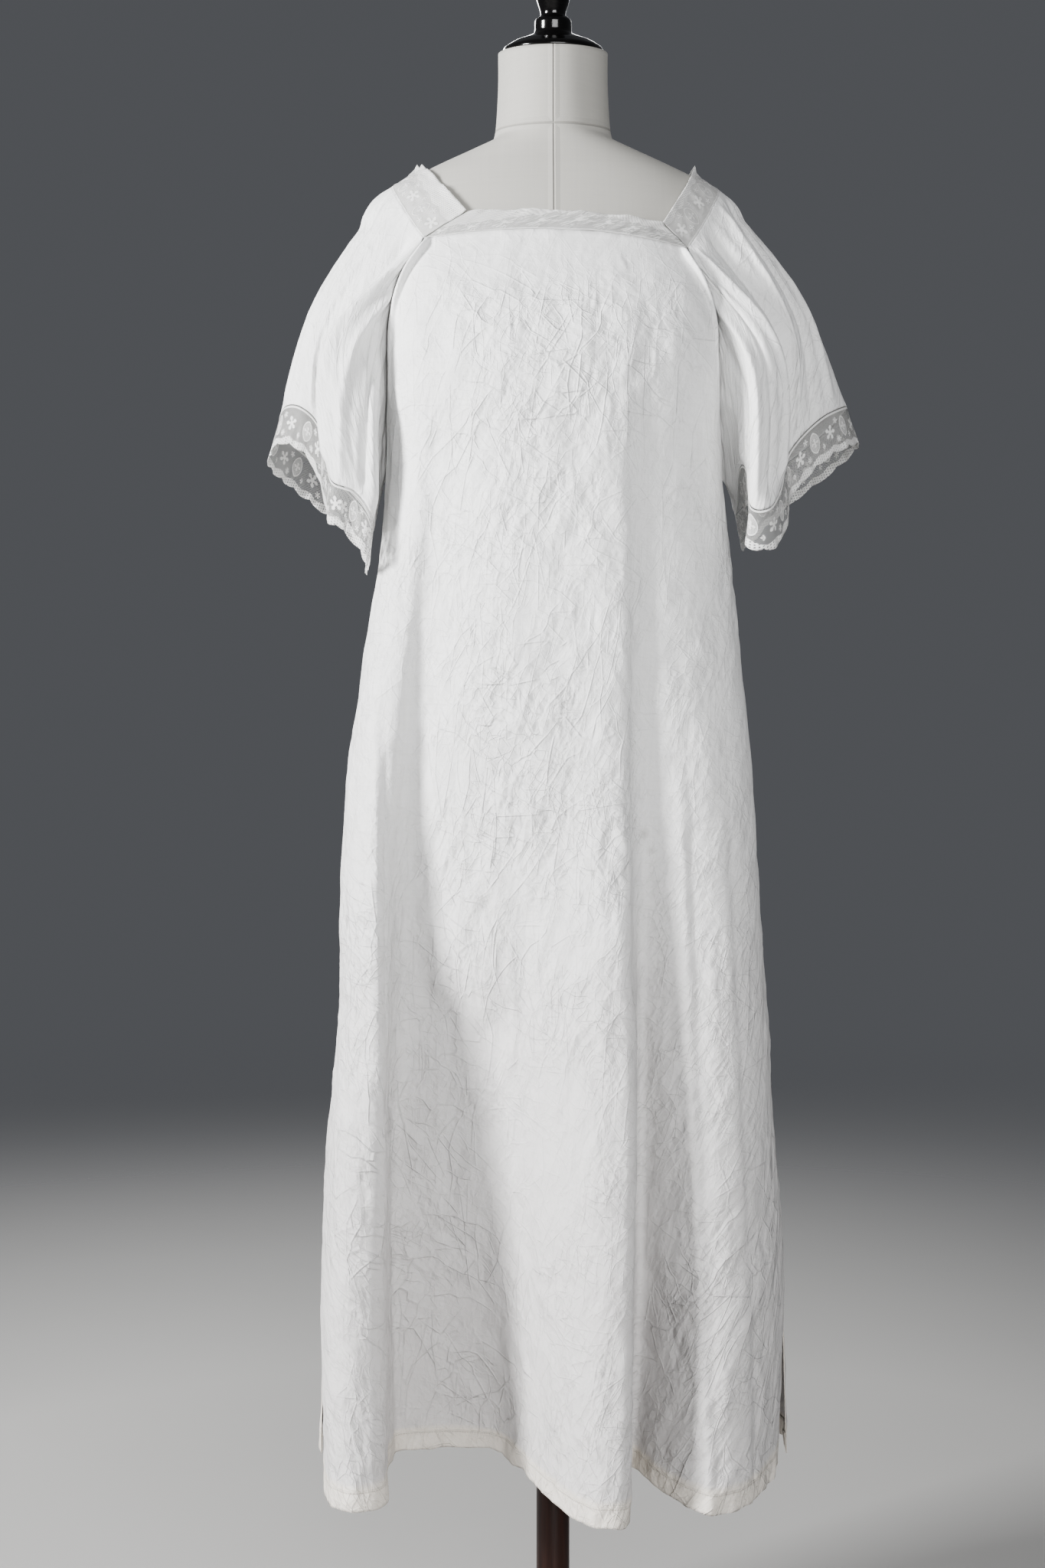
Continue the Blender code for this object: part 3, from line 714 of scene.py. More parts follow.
def smoothed(grid: np.ndarray, passes: int, closed: bool = False) -> np.ndarray:
    """Evens out a grid of points while its outer edges stay where they are.

    Args:
        grid: Rows, columns and coordinates.
        passes: How often the points are averaged with their neighbours.
        closed: Whether the last column meets the first again.

    Returns:
        The evened grid.
    """
    grid = grid.copy()
    for _ in range(passes):
        if closed:
            ring = np.concatenate([grid[:, -2:-1], grid, grid[:, 1:2]], axis=1)
            grid[1:-1] = tent(ring.swapaxes(0, 1)).swapaxes(0, 1)[1:-1]
        else:
            grid[1:-1, 1:-1] = tent(grid[1:-1].swapaxes(0, 1)).swapaxes(0, 1)
        grid[1:-1] = tent(grid)
    return grid


def grid_area(grid: np.ndarray) -> float:
    """Area of the sheet that a grid of points spans."""
    across, down = grid[:-1, 1:] - grid[:-1, :-1], grid[1:, :-1] - grid[:-1, :-1]
    return float(np.linalg.norm(np.cross(across, down), axis=2).sum())


def turned_object(name: str, profile: Sequence[tuple[float, float]], steps: int,
                  centre: Vector, tilt: float = 0.0) -> bpy.types.Object:
    """Spins a profile of radius and height rows about its own upright axis.

    Args:
        name: Name of the piece.
        profile: Radius and height rows, on the axis at both ends.
        steps: Faces around.
        centre: Where the axis stands.
        tilt: Lean of the piece about X, in radians.

    Returns:
        The new object, at the origin with its place in its mesh.
    """
    turned = bmesh.new()
    points = [turned.verts.new((radius, 0, height)) for radius, height in profile]
    edges = [turned.edges.new(pair) for pair in zip(points, points[1:])]
    bmesh.ops.spin(turned, geom=points + edges, cent=(0, 0, 0), axis=(0, 0, 1),
                   angle=2 * math.pi, steps=steps, use_merge=True)
    bmesh.ops.remove_doubles(turned, verts=turned.verts, dist=1e-5)
    bmesh.ops.recalc_face_normals(turned, faces=turned.faces)
    bmesh.ops.rotate(turned, verts=turned.verts, cent=(0, 0, 0),
                     matrix=Matrix.Rotation(tilt, 3, "X"))
    bmesh.ops.translate(turned, verts=turned.verts, vec=centre)
    for face in turned.faces:
        face.smooth = True
    return linked(name, turned)


class Number:
    """A number socket of a node tree that takes part in sums."""

    def __init__(self, graph: "Graph", socket: bpy.types.NodeSocket) -> None:
        """Keeps the socket and the graph that it is in."""
        self.graph, self.socket = graph, socket

    def math(self, operation: str, *others: "Number | float") -> "Number":
        """Works with a Math node.

        Args:
            operation: Blender's name of what it does.
            others: What it takes beside this number.

        Returns:
            Its result.
        """
        node = self.graph.add("Math", operation=operation)
        for value, slot in zip((self, *others), node.inputs):
            self.graph.join(value, slot)
        return Number(self.graph, node.outputs[0])

    def __add__(self, other: "Number | float") -> "Number":
        """Sum."""
        return self.math("ADD", other)

    def __sub__(self, other: "Number | float") -> "Number":
        """Difference."""
        return self.math("SUBTRACT", other)

    def __mul__(self, other: "Number | float") -> "Number":
        """Product."""
        return self.math("MULTIPLY", other)

    def __truediv__(self, other: "Number | float") -> "Number":
        """Quotient."""
        return self.math("DIVIDE", other)

    __radd__ = __add__
    __rmul__ = __mul__

    def inverted(self) -> "Number":
        """1 less this number."""
        return (self * -1.0) + 1.0

    def less_sharply(self, edge: "Number | float", soft: float) -> "Number":
        """1 where this number is under an edge, 0 over it, soft between."""
        return ((self * -1.0 + edge) * (0.5 / soft) + 0.5).held()

    def held(self, low: float = 0.0, high: float = 1.0) -> "Number":
        """This number kept between two limits."""
        return self.math("MAXIMUM", low).math("MINIMUM", high)

    def size(self) -> "Number":
        """This number without its sign."""
        return self.math("ABSOLUTE")

    def near(self, middle: "Number | float", reach: float, soft: float) -> "Number":
        """1 within a reach of a middle value, soft at its ends."""
        return (self - middle).size().less_sharply(reach, soft)

    def either(self, other: "Number | float") -> "Number":
        """The larger of the two."""
        return self.math("MAXIMUM", other)

    def both(self, other: "Number | float") -> "Number":
        """The smaller of the two."""
        return self.math("MINIMUM", other)


class Graph:
    """Lays nodes in one tree and joins them."""

    def __init__(self, tree: bpy.types.NodeTree) -> None:
        """Keeps the tree."""
        self.tree = tree

    def add(self, kind: str, values: dict | None = None, **settings: object) -> bpy.types.Node:
        """Adds a shader node.

        Args:
            kind: Blender's name of the node, without ShaderNode.
            values: Number, socket or plain value for each named input.
            settings: Properties of the node.

        Returns:
            The node.
        """
        node = self.tree.nodes.new("ShaderNode" + kind)
        for key, value in settings.items():
            setattr(node, key, value)
        for key, value in (values or {}).items():
            self.join(value, node.inputs[key])
        return node

    def join(self, value: object, slot: bpy.types.NodeSocket) -> None:
        """Feeds an input.

        Args:
            value: A number or socket to link, or a plain value to set.
            slot: The input.
        """
        value = value.socket if isinstance(value, Number) else value
        if isinstance(value, bpy.types.NodeSocket):
            self.tree.links.new(value, slot)
        else:
            slot.default_value = value

    def vector(self, x: object = 0.0, y: object = 0.0, z: object = 0.0) -> bpy.types.NodeSocket:
        """Vector of three numbers."""
        return self.add("CombineXYZ", {0: x, 1: y, 2: z}).outputs[0]

    def parts(self, vector: bpy.types.NodeSocket) -> tuple[Number, Number, Number]:
        """The three numbers of a vector."""
        node = self.add("SeparateXYZ", {0: vector})
        return tuple(Number(self, socket) for socket in node.outputs)

    def noise(self, vector: object, scale: float = 1.0, detail: float = 2.0) -> Number:
        """Smooth noise from 0 to 1."""
        node = self.add("TexNoise", {"Vector": vector, "Scale": scale, "Detail": detail})
        return Number(self, node.outputs[0])

    def coordinates(self, kind: str) -> bpy.types.NodeSocket:
        """Place in metres: on the cloth for UV, in the object for Object."""
        return self.add("TexCoord").outputs[kind]

    def attribute(self, name: str) -> Number:
        """A number that the piece keeps at each point."""
        node = self.add("Attribute", attribute_type="GEOMETRY", attribute_name=name)
        return Number(self, node.outputs["Fac"])

    def tint(self, share: object, low: object, high: object) -> bpy.types.NodeSocket:
        """Mixes two colours.

        Args:
            share: 0 for the first colour, 1 for the second.
            low: First colour.
            high: Second colour.

        Returns:
            The mixed colour.
        """
        node = self.add("Mix", data_type="RGBA")
        for value, slot in ((share, 0), (low, 6), (high, 7)):
            self.join((*value, 1.0) if isinstance(value, tuple) else value, node.inputs[slot])
        return node.outputs[2]

    def group(self, made: bpy.types.NodeTree, **values: object) -> dict[str, Number]:
        """Places a node group.

        Args:
            made: The group.
            values: What its inputs take.

        Returns:
            Its numbers by their names.
        """
        node = self.add("Group", node_tree=made)
        for key, value in values.items():
            self.join(value, node.inputs[key])
        return {socket.name: Number(self, socket) for socket in node.outputs}


class BumpLayer(NamedTuple):
    """Creases of the finish that lean one way."""

    lean: float
    stretch: float
    place: float
    weight: float


class Motif(NamedTuple):
    """A flower or oval of the lace, placed in shares of its repeat and its width."""

    across: float
    up: float
    radius: float
    petals: int = 0


BUMP_LAYERS = (BumpLayer(27, 0.38, 0.0, 0.8), BumpLayer(-31, 0.42, 20.0, -0.7),
               BumpLayer(7, 0.24, 40.0, 0.7), BumpLayer(-65, 0.50, 60.0, 0.5))
LACE_OVAL = Motif(0.74, 0.42, 0.0100)
LACE_FLOWERS = (Motif(0.24, 0.44, 0.0074, 5), Motif(0.49, 0.68, 0.0036, 6),
                Motif(0.74, 0.42, 0.0046, 4), Motif(0.49, 0.22, 0.0034, 5),
                Motif(0.99, 0.66, 0.0034, 6))


class Effect:
    """Shader node groups that more than one finish uses, each built once."""

    @staticmethod
    def start(name: str, **defaults: float) -> tuple[Graph, bpy.types.NodeSocket, list[Number]]:
        """Makes an empty group that takes a vector and some numbers.

        Args:
            name: Name of the group.
            defaults: Name and first value of each number.

        Returns:
            The graph, the vector and the numbers.
        """
        graph = Graph(bpy.data.node_groups.new(name, "ShaderNodeTree"))
        sockets = graph.tree.interface
        sockets.new_socket("Vector", in_out="INPUT", socket_type="NodeSocketVector")
        for key, value in defaults.items():
            socket = sockets.new_socket(key, in_out="INPUT", socket_type="NodeSocketFloat")
            socket.default_value = value
        given = graph.tree.nodes.new("NodeGroupInput").outputs
        return graph, given["Vector"], [Number(graph, given[key]) for key in defaults]

    @staticmethod
    def finished(graph: Graph, **results: Number) -> bpy.types.NodeTree:
        """Gives a group its results.

        Args:
            graph: The graph of the group.
            results: The numbers that come out, by their names.

        Returns:
            The group.
        """
        for key in results:
            graph.tree.interface.new_socket(key, in_out="OUTPUT", socket_type="NodeSocketFloat")
        out = graph.tree.nodes.new("NodeGroupOutput")
        for key, value in results.items():
            graph.join(value, out.inputs[key])
        return graph.tree

    @classmethod
    @cache
    def weave(cls) -> bpy.types.NodeTree:
        """Plain weave with thick and thin threads: Height in thread heights, Shade about 0."""
        fine, long, slub_fine, slub_long = 340.0, 11.0, 900.0, 60.0
        graph, vector, (pitch,) = cls.start("weave", Pitch=0.0006)
        u, v, _ = graph.parts(vector)
        warp = (u / pitch * math.pi).math("SINE")
        weft = (v / pitch * math.pi).math("SINE")
        upright = graph.noise(graph.vector(u * fine, v * long), detail=3.0)
        level = graph.noise(graph.vector(u * long, v * fine, 5.0), detail=3.0)
        slub = graph.noise(graph.vector(u * slub_long, v * slub_fine, 9.0), detail=1.0)
        thick = (slub - 0.62).math("MAXIMUM", 0.0) * 2.5
        shade = (upright - 0.5) + (level - 0.5) + thick
        return cls.finished(graph, Height=warp * weft * 0.35 + shade, Shade=shade)

    @classmethod
    @cache
    def crinkle(cls) -> bpy.types.NodeTree:
        """Flat facets and pinched ridges of creased linen: Height in sizes of a crease."""
        graph, vector, (size,) = cls.start("crinkle", Size=0.012)
        u, v, _ = graph.parts(vector)
        u, v = u / size, v / size

        def cloud(across: Number, up: Number, place: float, detail: float = 0.0) -> Number:
            """Slow noise from 0 to 1 at a place of its own."""
            return graph.noise(graph.vector(across, up, place), detail=detail)

        bend = (cloud(u * 0.22, v * 0.16, 3.0) - 0.5) * 2.0
        folds = []
        for layer in BUMP_LAYERS:
            turn = math.radians(layer.lean)
            across = u * math.cos(turn) + v * math.sin(turn) + bend
            along = (v * math.cos(turn) - u * math.sin(turn)) * layer.stretch
            along = along + bend * 0.3 + layer.place
            cells = {"Vector": graph.vector(across, along), "Scale": 1.0}
            nodes = [graph.add("TexVoronoi", cells, voronoi_dimensions="2D", feature=feature,
                               distance="MANHATTAN") for feature in ("F1", "F2")]
            near, next_near = (Number(graph, node.outputs["Distance"]) for node in nodes)
            pinch = (next_near - near).less_sharply(0.0, 0.09)
            shown = ((cloud(across * 0.5, along * 0.9, 7.0 + layer.place) - 0.47) * 9.0).held()
            zone = ((cloud(u * 0.19, v * 0.14, 2.0 + layer.place) - 0.36) * 5.0).held(0.12)
            folds.append(near * layer.weight * zone + pinch * shown * 0.42)
        patch = ((cloud(u * 0.10, v * 0.07, 11.0, 1.0) - 0.28) * 3.0).held(0.45)
        return cls.finished(graph, Height=sum(folds[1:], folds[0]) * patch)

    @classmethod
    @cache
    def lace(cls) -> bpy.types.NodeTree:
        """Net lace with flowers, ovals and a dense border.

        The vector runs along the lace and from its seam to its free edge, in metres. Mask is 1
        where there is thread, Height its thickness from 0 to 1.
        """
        graph, vector, (width, period, pitch, density) = cls.start(
            "lace", Width=0.04, Period=0.044, Pitch=0.0017, Density=0.0)
        u, v, _ = graph.parts(vector)
        place = u.math("FLOORED_MODULO", period)

        def thread(value: Number, share: float) -> Number:
            """Threads a pitch apart."""
            return (value / pitch).math("FRACT").near(0.5, share, 0.05)

        def bloom(motif: Motif) -> Number:
            """Solid flower with a few small holes round its eye.

            Args:
                motif: Its place, radius and petals.

            Returns:
                1 where it has thread.
            """
            du, dv = place - period * motif.across, v - width * motif.up
            reach = (du * du + dv * dv).math("SQRT")
            wave = (dv.math("ARCTAN2", du) * float(motif.petals)).math("COSINE")
            edge = wave * (0.2 * motif.radius) + 0.8 * motif.radius
            ring = reach.near(0.48 * motif.radius, 0.14 * motif.radius, 0.0002)
            holes = ring.both(wave.less_sharply(-0.25, 0.2))
            return reach.less_sharply(edge, 0.0003).both(holes.inverted())

        def oval(motif: Motif) -> Number:
            """Distance from the middle of an oval that points towards the free edge."""
            du, dv = (place - period * motif.across).size(), v - width * motif.up
            return (du * du * 1.9 + dv * dv).math("SQRT") + du * 0.35

        net = thread(u + v, 0.08).either(thread(u - v, 0.08))
        fine = thread(u * 1.6, 0.13).either(thread(v * 1.6, 0.13))
        reach = oval(LACE_OVAL)
        solid = reach.near(LACE_OVAL.radius, 0.0008, 0.0002).either(v.less_sharply(0.0022, 0.0003))
        for motif in LACE_FLOWERS:
            solid = solid.either(bloom(motif))
        wave = (u / period * (4 * math.pi)).math("COSINE")
        border = v.math("GREATER_THAN", width * 0.80 + wave * 0.0012)
        dots = thread(u * 0.62, 0.2).both(thread(v * 0.62 + u * 0.3, 0.2))
        solid = solid.either(border.both(dots.inverted()))
        cloth = reach.less_sharply(LACE_OVAL.radius, 0.0002).both(fine.either(0.25))
        mask = net.either(solid).either(cloth).either(density)
        return cls.finished(graph, Mask=mask, Height=solid + net * 0.55 + cloth * 0.35)

    @classmethod
    @cache
    def grain(cls) -> bpy.types.NodeTree:
        """Long wood grain along Z: Shade from 0 to 1."""
        graph, vector, (stretch,) = cls.start("grain", Stretch=0.06)
        x, y, z = graph.parts(vector)
        z = z * stretch
        bend = graph.noise(graph.vector(x * 12.0, y * 12.0, z * 12.0), detail=2.0)
        streak = graph.noise(graph.vector(x + bend * 0.01, y, z), scale=420.0, detail=4.0)
        band = graph.noise(graph.vector(x, y + bend * 0.02, z), scale=90.0, detail=2.0)
        return cls.finished(graph, Shade=streak * 0.6 + band * 0.4)


@dataclass(frozen=True)
class Finish:
    """What all finishes share: a name, and plain values of the shader."""

    name: str = "plain"
    plain: tuple[tuple[str, float], ...] = ()
    bump_strength: float = 1.0
    bump_distance: float = 1.0

    def make(self) -> bpy.types.Material:
        """Builds the material."""
        made = bpy.data.materials.new(self.name)
        made.use_nodes = True
        graph, shader = Graph(made.node_tree), made.node_tree.nodes["Principled BSDF"]
        for key, value in self.plain:
            shader.inputs[key].default_value = value
        parts = self.parts(graph)
        for key in ("Base Color", "Alpha", "Roughness"):
            if key in parts:
                graph.join(parts[key], shader.inputs[key])
        if "Height" in parts:
            bump = graph.add("Bump", {"Strength": self.bump_strength, "Height": parts["Height"],
                                      "Distance": self.bump_distance})
            graph.join(bump.outputs[0], shader.inputs["Normal"])
        return made

    def parts(self, graph: Graph) -> dict[str, object]:
        """Builds what feeds the shader.

        Args:
            graph: The material's graph.

        Returns:
            Any of Base Color, Alpha, Roughness and Height.
        """
        raise NotImplementedError


@dataclass(frozen=True)
class LinenFinish(Finish):
    """Washed white linen: slubs, fine crinkles, a creamier hem and a few old marks, with painted
    shade down the skirt, in the hem's stitch dents and along its turned edge.
    """

    name: str = "linen"
    plain: tuple[tuple[str, float], ...] = (
        ("Roughness", 0.86), ("Sheen Weight", 0.18), ("Sheen Roughness", 0.5),
        ("Specular IOR Level", 0.25))
    white: Triple = (0.86, 0.86, 0.855)
    # Grey of the cloth's uneven tone and of the painted shade down the skirt
    tone_and_shade_grey: Triple = (0.66, 0.645, 0.64)
    cream: Triple = (0.80, 0.745, 0.655)
    mark: Triple = (0.42, 0.40, 0.38)
    # Painted shade in the hem's stitch dents and along the edge of its turn inside
    shaded_groove: Triple = (0.50, 0.46, 0.40)
    thread: Triple = (0.66, 0.65, 0.63)
    # Places and radii of the old marks on the front
    marks: tuple[Triple, ...] = (
        (0.086, 0.906, 0.0065), (0.093, 0.890, 0.0050), (-0.091, 0.895, 0.0055))
    # Sizes and slopes of the creases, coarse to fine
    crease_sizes: tuple[tuple[float, float], ...] = (
        (0.026, 0.110), (0.0115, 0.130), (0.0052, 0.105))
    # Height and softness of the two steps of painted shade where the skirt turns greyer, lower down
    # and below the form's lower edge, with their shares
    low_skirt_shade_step: Triple = (0.75, 0.45, 0.85)
    below_form_shade_step: Triple = (0.785, 0.03, 0.22)
    cream_share: float = 0.62
    groove_shade_share: float = 0.45
    mark_share: float = 0.42
    stitch_rise: float = 0.0172
    stitch_pitch: float = 0.0026
    stitch_depth: float = 0.0004
    turn_depth: float = 0.0008
    thread_depth: float = 0.00010

    def parts(self, graph: Graph) -> dict[str, object]:
        """Builds the colour and the height of the cloth.

        Args:
            graph: The material's graph.

        Returns:
            The base colour and the height.
        """
        uv, place = graph.coordinates("UV"), graph.coordinates("Object")
        weave = graph.group(Effect.weave(), Vector=uv)
        crumple, hem, rise = (graph.attribute(name) for name in ("crumple", "hem", "rise"))
        u, _, _ = graph.parts(uv)
        row = rise.near(self.stitch_rise, 0.0005, 0.0002)
        gap = (u / self.stitch_pitch).math("FRACT").less_sharply(0.30, 0.05)
        shaded_groove = row * gap.inverted()
        fold = rise.near(HEM_TURN, 0.0004, 0.0006)
        colour = self.toned_with_painted_shade(graph, place)
        colour = graph.tint(hem * self.cream_share, colour, self.cream)
        # Painted shade: darker in the stitch dents and along the edge of the hem turned up inside
        colour = graph.tint(shaded_groove.either(fold * 0.6) * self.groove_shade_share, colour, self.shaded_groove)
        shade = (weave["Shade"] * 0.42 + 0.06).math("MAXIMUM", 0.0)
        colour = graph.tint(shade, colour, self.thread)
        height = weave["Height"] * self.thread_depth - shaded_groove * self.stitch_depth
        height = height + rise.less_sharply(HEM_TURN, 0.0005) * hem * self.turn_depth
        for size, slope in self.crease_sizes:
            crinkle = graph.group(Effect.crinkle(), Vector=uv, Size=size)
            height = height + crinkle["Height"] * crumple * (size * slope)
        return {"Base Color": self.marked(graph, place, colour), "Height": height}

    def toned_with_painted_shade(self, graph: Graph, place: bpy.types.NodeSocket) -> bpy.types.NodeSocket:
        """Builds the white with its uneven tone, and the painted shade that turns it greyer down
        the skirt.

        Args:
            graph: The material's graph.
            place: Place in the object.

        Returns:
            The colour.
        """
        _, _, z = graph.parts(place)
        cloud = (graph.noise(place, scale=7.0, detail=3.0) - 0.5) * 0.5
        # Painted shade: greyer towards the floor, and again below the lower edge of the form behind
        # the cloth; the cloud is the cloth's own uneven tone
        steps = [z.less_sharply(edge, soft) * share
                 for edge, soft, share in (self.low_skirt_shade_step, self.below_form_shade_step)]
        return graph.tint(steps[0] + steps[1] + cloud, self.white, self.tone_and_shade_grey)

    def marked(self, graph: Graph, place: bpy.types.NodeSocket,
               colour: bpy.types.NodeSocket) -> bpy.types.NodeSocket:
        """Adds the old marks to the front.

        Args:
            graph: The material's graph.
            place: Place in the object.
            colour: The colour so far.

        Returns:
            The colour with the marks.
        """
        x, y, z = graph.parts(place)
        front = y.less_sharply(0.0, 0.01)
        edge = graph.noise(place, scale=160.0, detail=2.0) * 0.006
        for at_x, at_z, radius in self.marks:
            du, dv = x - at_x, z - at_z
            reach = (du * du + dv * dv).math("SQRT") + edge
            share = reach.less_sharply(radius, 0.004) * front * self.mark_share
            colour = graph.tint(share, colour, self.mark)
        return colour


@dataclass(frozen=True)
class LaceFinish(Finish):
    """White cotton net lace with flowers, see-through between its threads."""

    name: str = "cotton_lace"
    plain: tuple[tuple[str, float], ...] = (
        ("Roughness", 0.8), ("Sheen Weight", 0.15), ("Specular IOR Level", 0.3))
    white: Triple = (0.94, 0.935, 0.92)
    shade: Triple = (0.88, 0.875, 0.86)
    width: float = 0.040
    period: float = LACE_REPEAT
    pitch: float = 0.0017
    density: float = 0.0
    depth: float = 0.0004

    def parts(self, graph: Graph) -> dict[str, object]:
        """Builds the threads of the lace.

        Args:
            graph: The material's graph.

        Returns:
            The base colour, the alpha and the height.
        """
        lace = graph.group(Effect.lace(), Vector=graph.coordinates("UV"), Width=self.width,
                           Period=self.period, Pitch=self.pitch, Density=self.density)
        return {"Base Color": graph.tint(lace["Height"] * 0.8, self.shade, self.white),
                "Alpha": lace["Mask"], "Height": lace["Height"] * self.depth}


@dataclass(frozen=True)
class CanvasFinish(Finish):
    """Off-white canvas pulled tight over the form, seamed down its middle and round its neck, with
    painted shade in the seam grooves.
    """

    name: str = "canvas"
    plain: tuple[tuple[str, float], ...] = (
        ("Roughness", 0.88), ("Specular IOR Level", 0.3), ("Sheen Weight", 0.1))
    light: Triple = (0.50, 0.49, 0.46)
    dark: Triple = (0.40, 0.39, 0.36)
    neck_seam: float = 1.617
    neck_seam_dip: float = 0.16
    side_seam_top: float = 1.50
    rim_depth: float = 0.0007
    groove_depth: float = 0.0012
    thread_depth: float = 0.00005

    def parts(self, graph: Graph) -> dict[str, object]:
        """Builds the canvas and its seams.

        Args:
            graph: The material's graph.

        Returns:
            The base colour and the height.
        """
        place = graph.coordinates("Object")
        x, y, z = graph.parts(place)
        weave = graph.group(Effect.weave(), Vector=graph.vector(x, z, y), Pitch=0.0009)
        side = y.size().either(z * -1.0 + self.side_seam_top)
        level = (z - self.neck_seam - y * self.neck_seam_dip).size()
        seam = x.size().both(side).both(level)
        shaded_groove, rim = seam.less_sharply(0.0006, 0.0008), seam.less_sharply(0.0035, 0.0025)
        cloud = graph.noise(place, scale=14.0, detail=3.0) * 0.3
        # Painted shade: the seam grooves are darkened in the colour; the weave and the cloud are
        # the canvas's own uneven tone
        shade = weave["Shade"] * 0.30 + cloud + shaded_groove * 0.7
        height = weave["Height"] * self.thread_depth + rim * self.rim_depth
        return {"Base Color": graph.tint(shade, self.light, self.dark),
                "Height": height - shaded_groove * self.groove_depth}


@dataclass(frozen=True)
class LacquerFinish(Finish):
    """Gloss black lacquer over turned wood, with faint polishing marks and dust."""

    name: str = "black_lacquer"
    plain: tuple[tuple[str, float], ...] = (("Coat Weight", 0.6), ("Coat Roughness", 0.08))
    black: Triple = (0.008, 0.0075, 0.0075)
    dust: Triple = (0.05, 0.048, 0.045)
    bump_strength: float = 0.15
    bump_distance: float = 0.001

    def parts(self, graph: Graph) -> dict[str, object]:
        """Builds the lacquer.

        Args:
            graph: The material's graph.

        Returns:
            The base colour, the roughness and the height.
        """
        place = graph.coordinates("Object")
        shade = graph.group(Effect.grain(), Vector=place, Stretch=1.0)["Shade"]
        specks = graph.noise(place, scale=900.0, detail=1.0).less_sharply(0.30, 0.03)
        return {"Base Color": graph.tint(specks * 0.5, self.black, self.dust),
                "Roughness": shade * 0.16 + 0.10, "Height": shade}


@dataclass(frozen=True)
class WoodFinish(Finish):
    """Dark red-brown stained wood under satin varnish, with long grain."""

    name: str = "dark_wood"
    plain: tuple[tuple[str, float], ...] = (("Coat Weight", 0.35), ("Coat Roughness", 0.2))
    dark: Triple = (0.022, 0.008, 0.006)
    light: Triple = (0.085, 0.030, 0.018)
    bump_strength: float = 0.3
    bump_distance: float = 0.0006

    def parts(self, graph: Graph) -> dict[str, object]:
        """Builds the grain.

        Args:
            graph: The material's graph.

        Returns:
            The base colour, the roughness and the height.
        """
        place = graph.coordinates("Object")
        shade = graph.group(Effect.grain(), Vector=place, Stretch=0.05)["Shade"]
        return {"Base Color": graph.tint((shade - 0.25) * 1.7, self.dark, self.light),
                "Roughness": shade * 0.25 + 0.22, "Height": shade}


@dataclass(frozen=True)
class FloorFinish(Finish):
    """Plain pale matt floor that melts into the backdrop far away."""

    name: str = "pale_floor"
    plain: tuple[tuple[str, float], ...] = (("Roughness", 0.9), ("Specular IOR Level", 0.2))
    pale: Triple = (0.46, 0.455, 0.445)
    paler: float = 1.05
    fade_from: float = 1.2
    fade_over: float = 4.5

    def parts(self, graph: Graph) -> dict[str, object]:
        """Builds the floor.

        Args:
            graph: The material's graph.

        Returns:
            The base colour and the alpha.
        """
        place = graph.coordinates("Object")
        x, y, _ = graph.parts(place)
        cloud = graph.noise(place, scale=2.0, detail=3.0)
        paler = tuple(value * self.paler for value in self.pale)
        reach = ((x * x + y * y).math("SQRT") - self.fade_from) / self.fade_over
        solid = reach.inverted().held()
        return {"Base Color": graph.tint(cloud, self.pale, paler), "Alpha": solid * solid}


def dressed(piece: bpy.types.Object, material: bpy.types.Material,
            nodes: Sequence[str]) -> bpy.types.Object:
    """Gives a piece its finish and says what it rides on and stands for.

    Args:
        piece: The new piece.
        material: Its finish.
        nodes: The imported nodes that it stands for.

    Returns:
        The same piece.
    """
    piece.data.materials.append(material)
    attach(piece, BODY)
    if nodes:
        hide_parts(*nodes)
    faces = len(piece.data.polygons)
    LOG.info("%s: %d faces, stands for %s", piece.name, faces, ", ".join(nodes) or "nothing")
    return piece


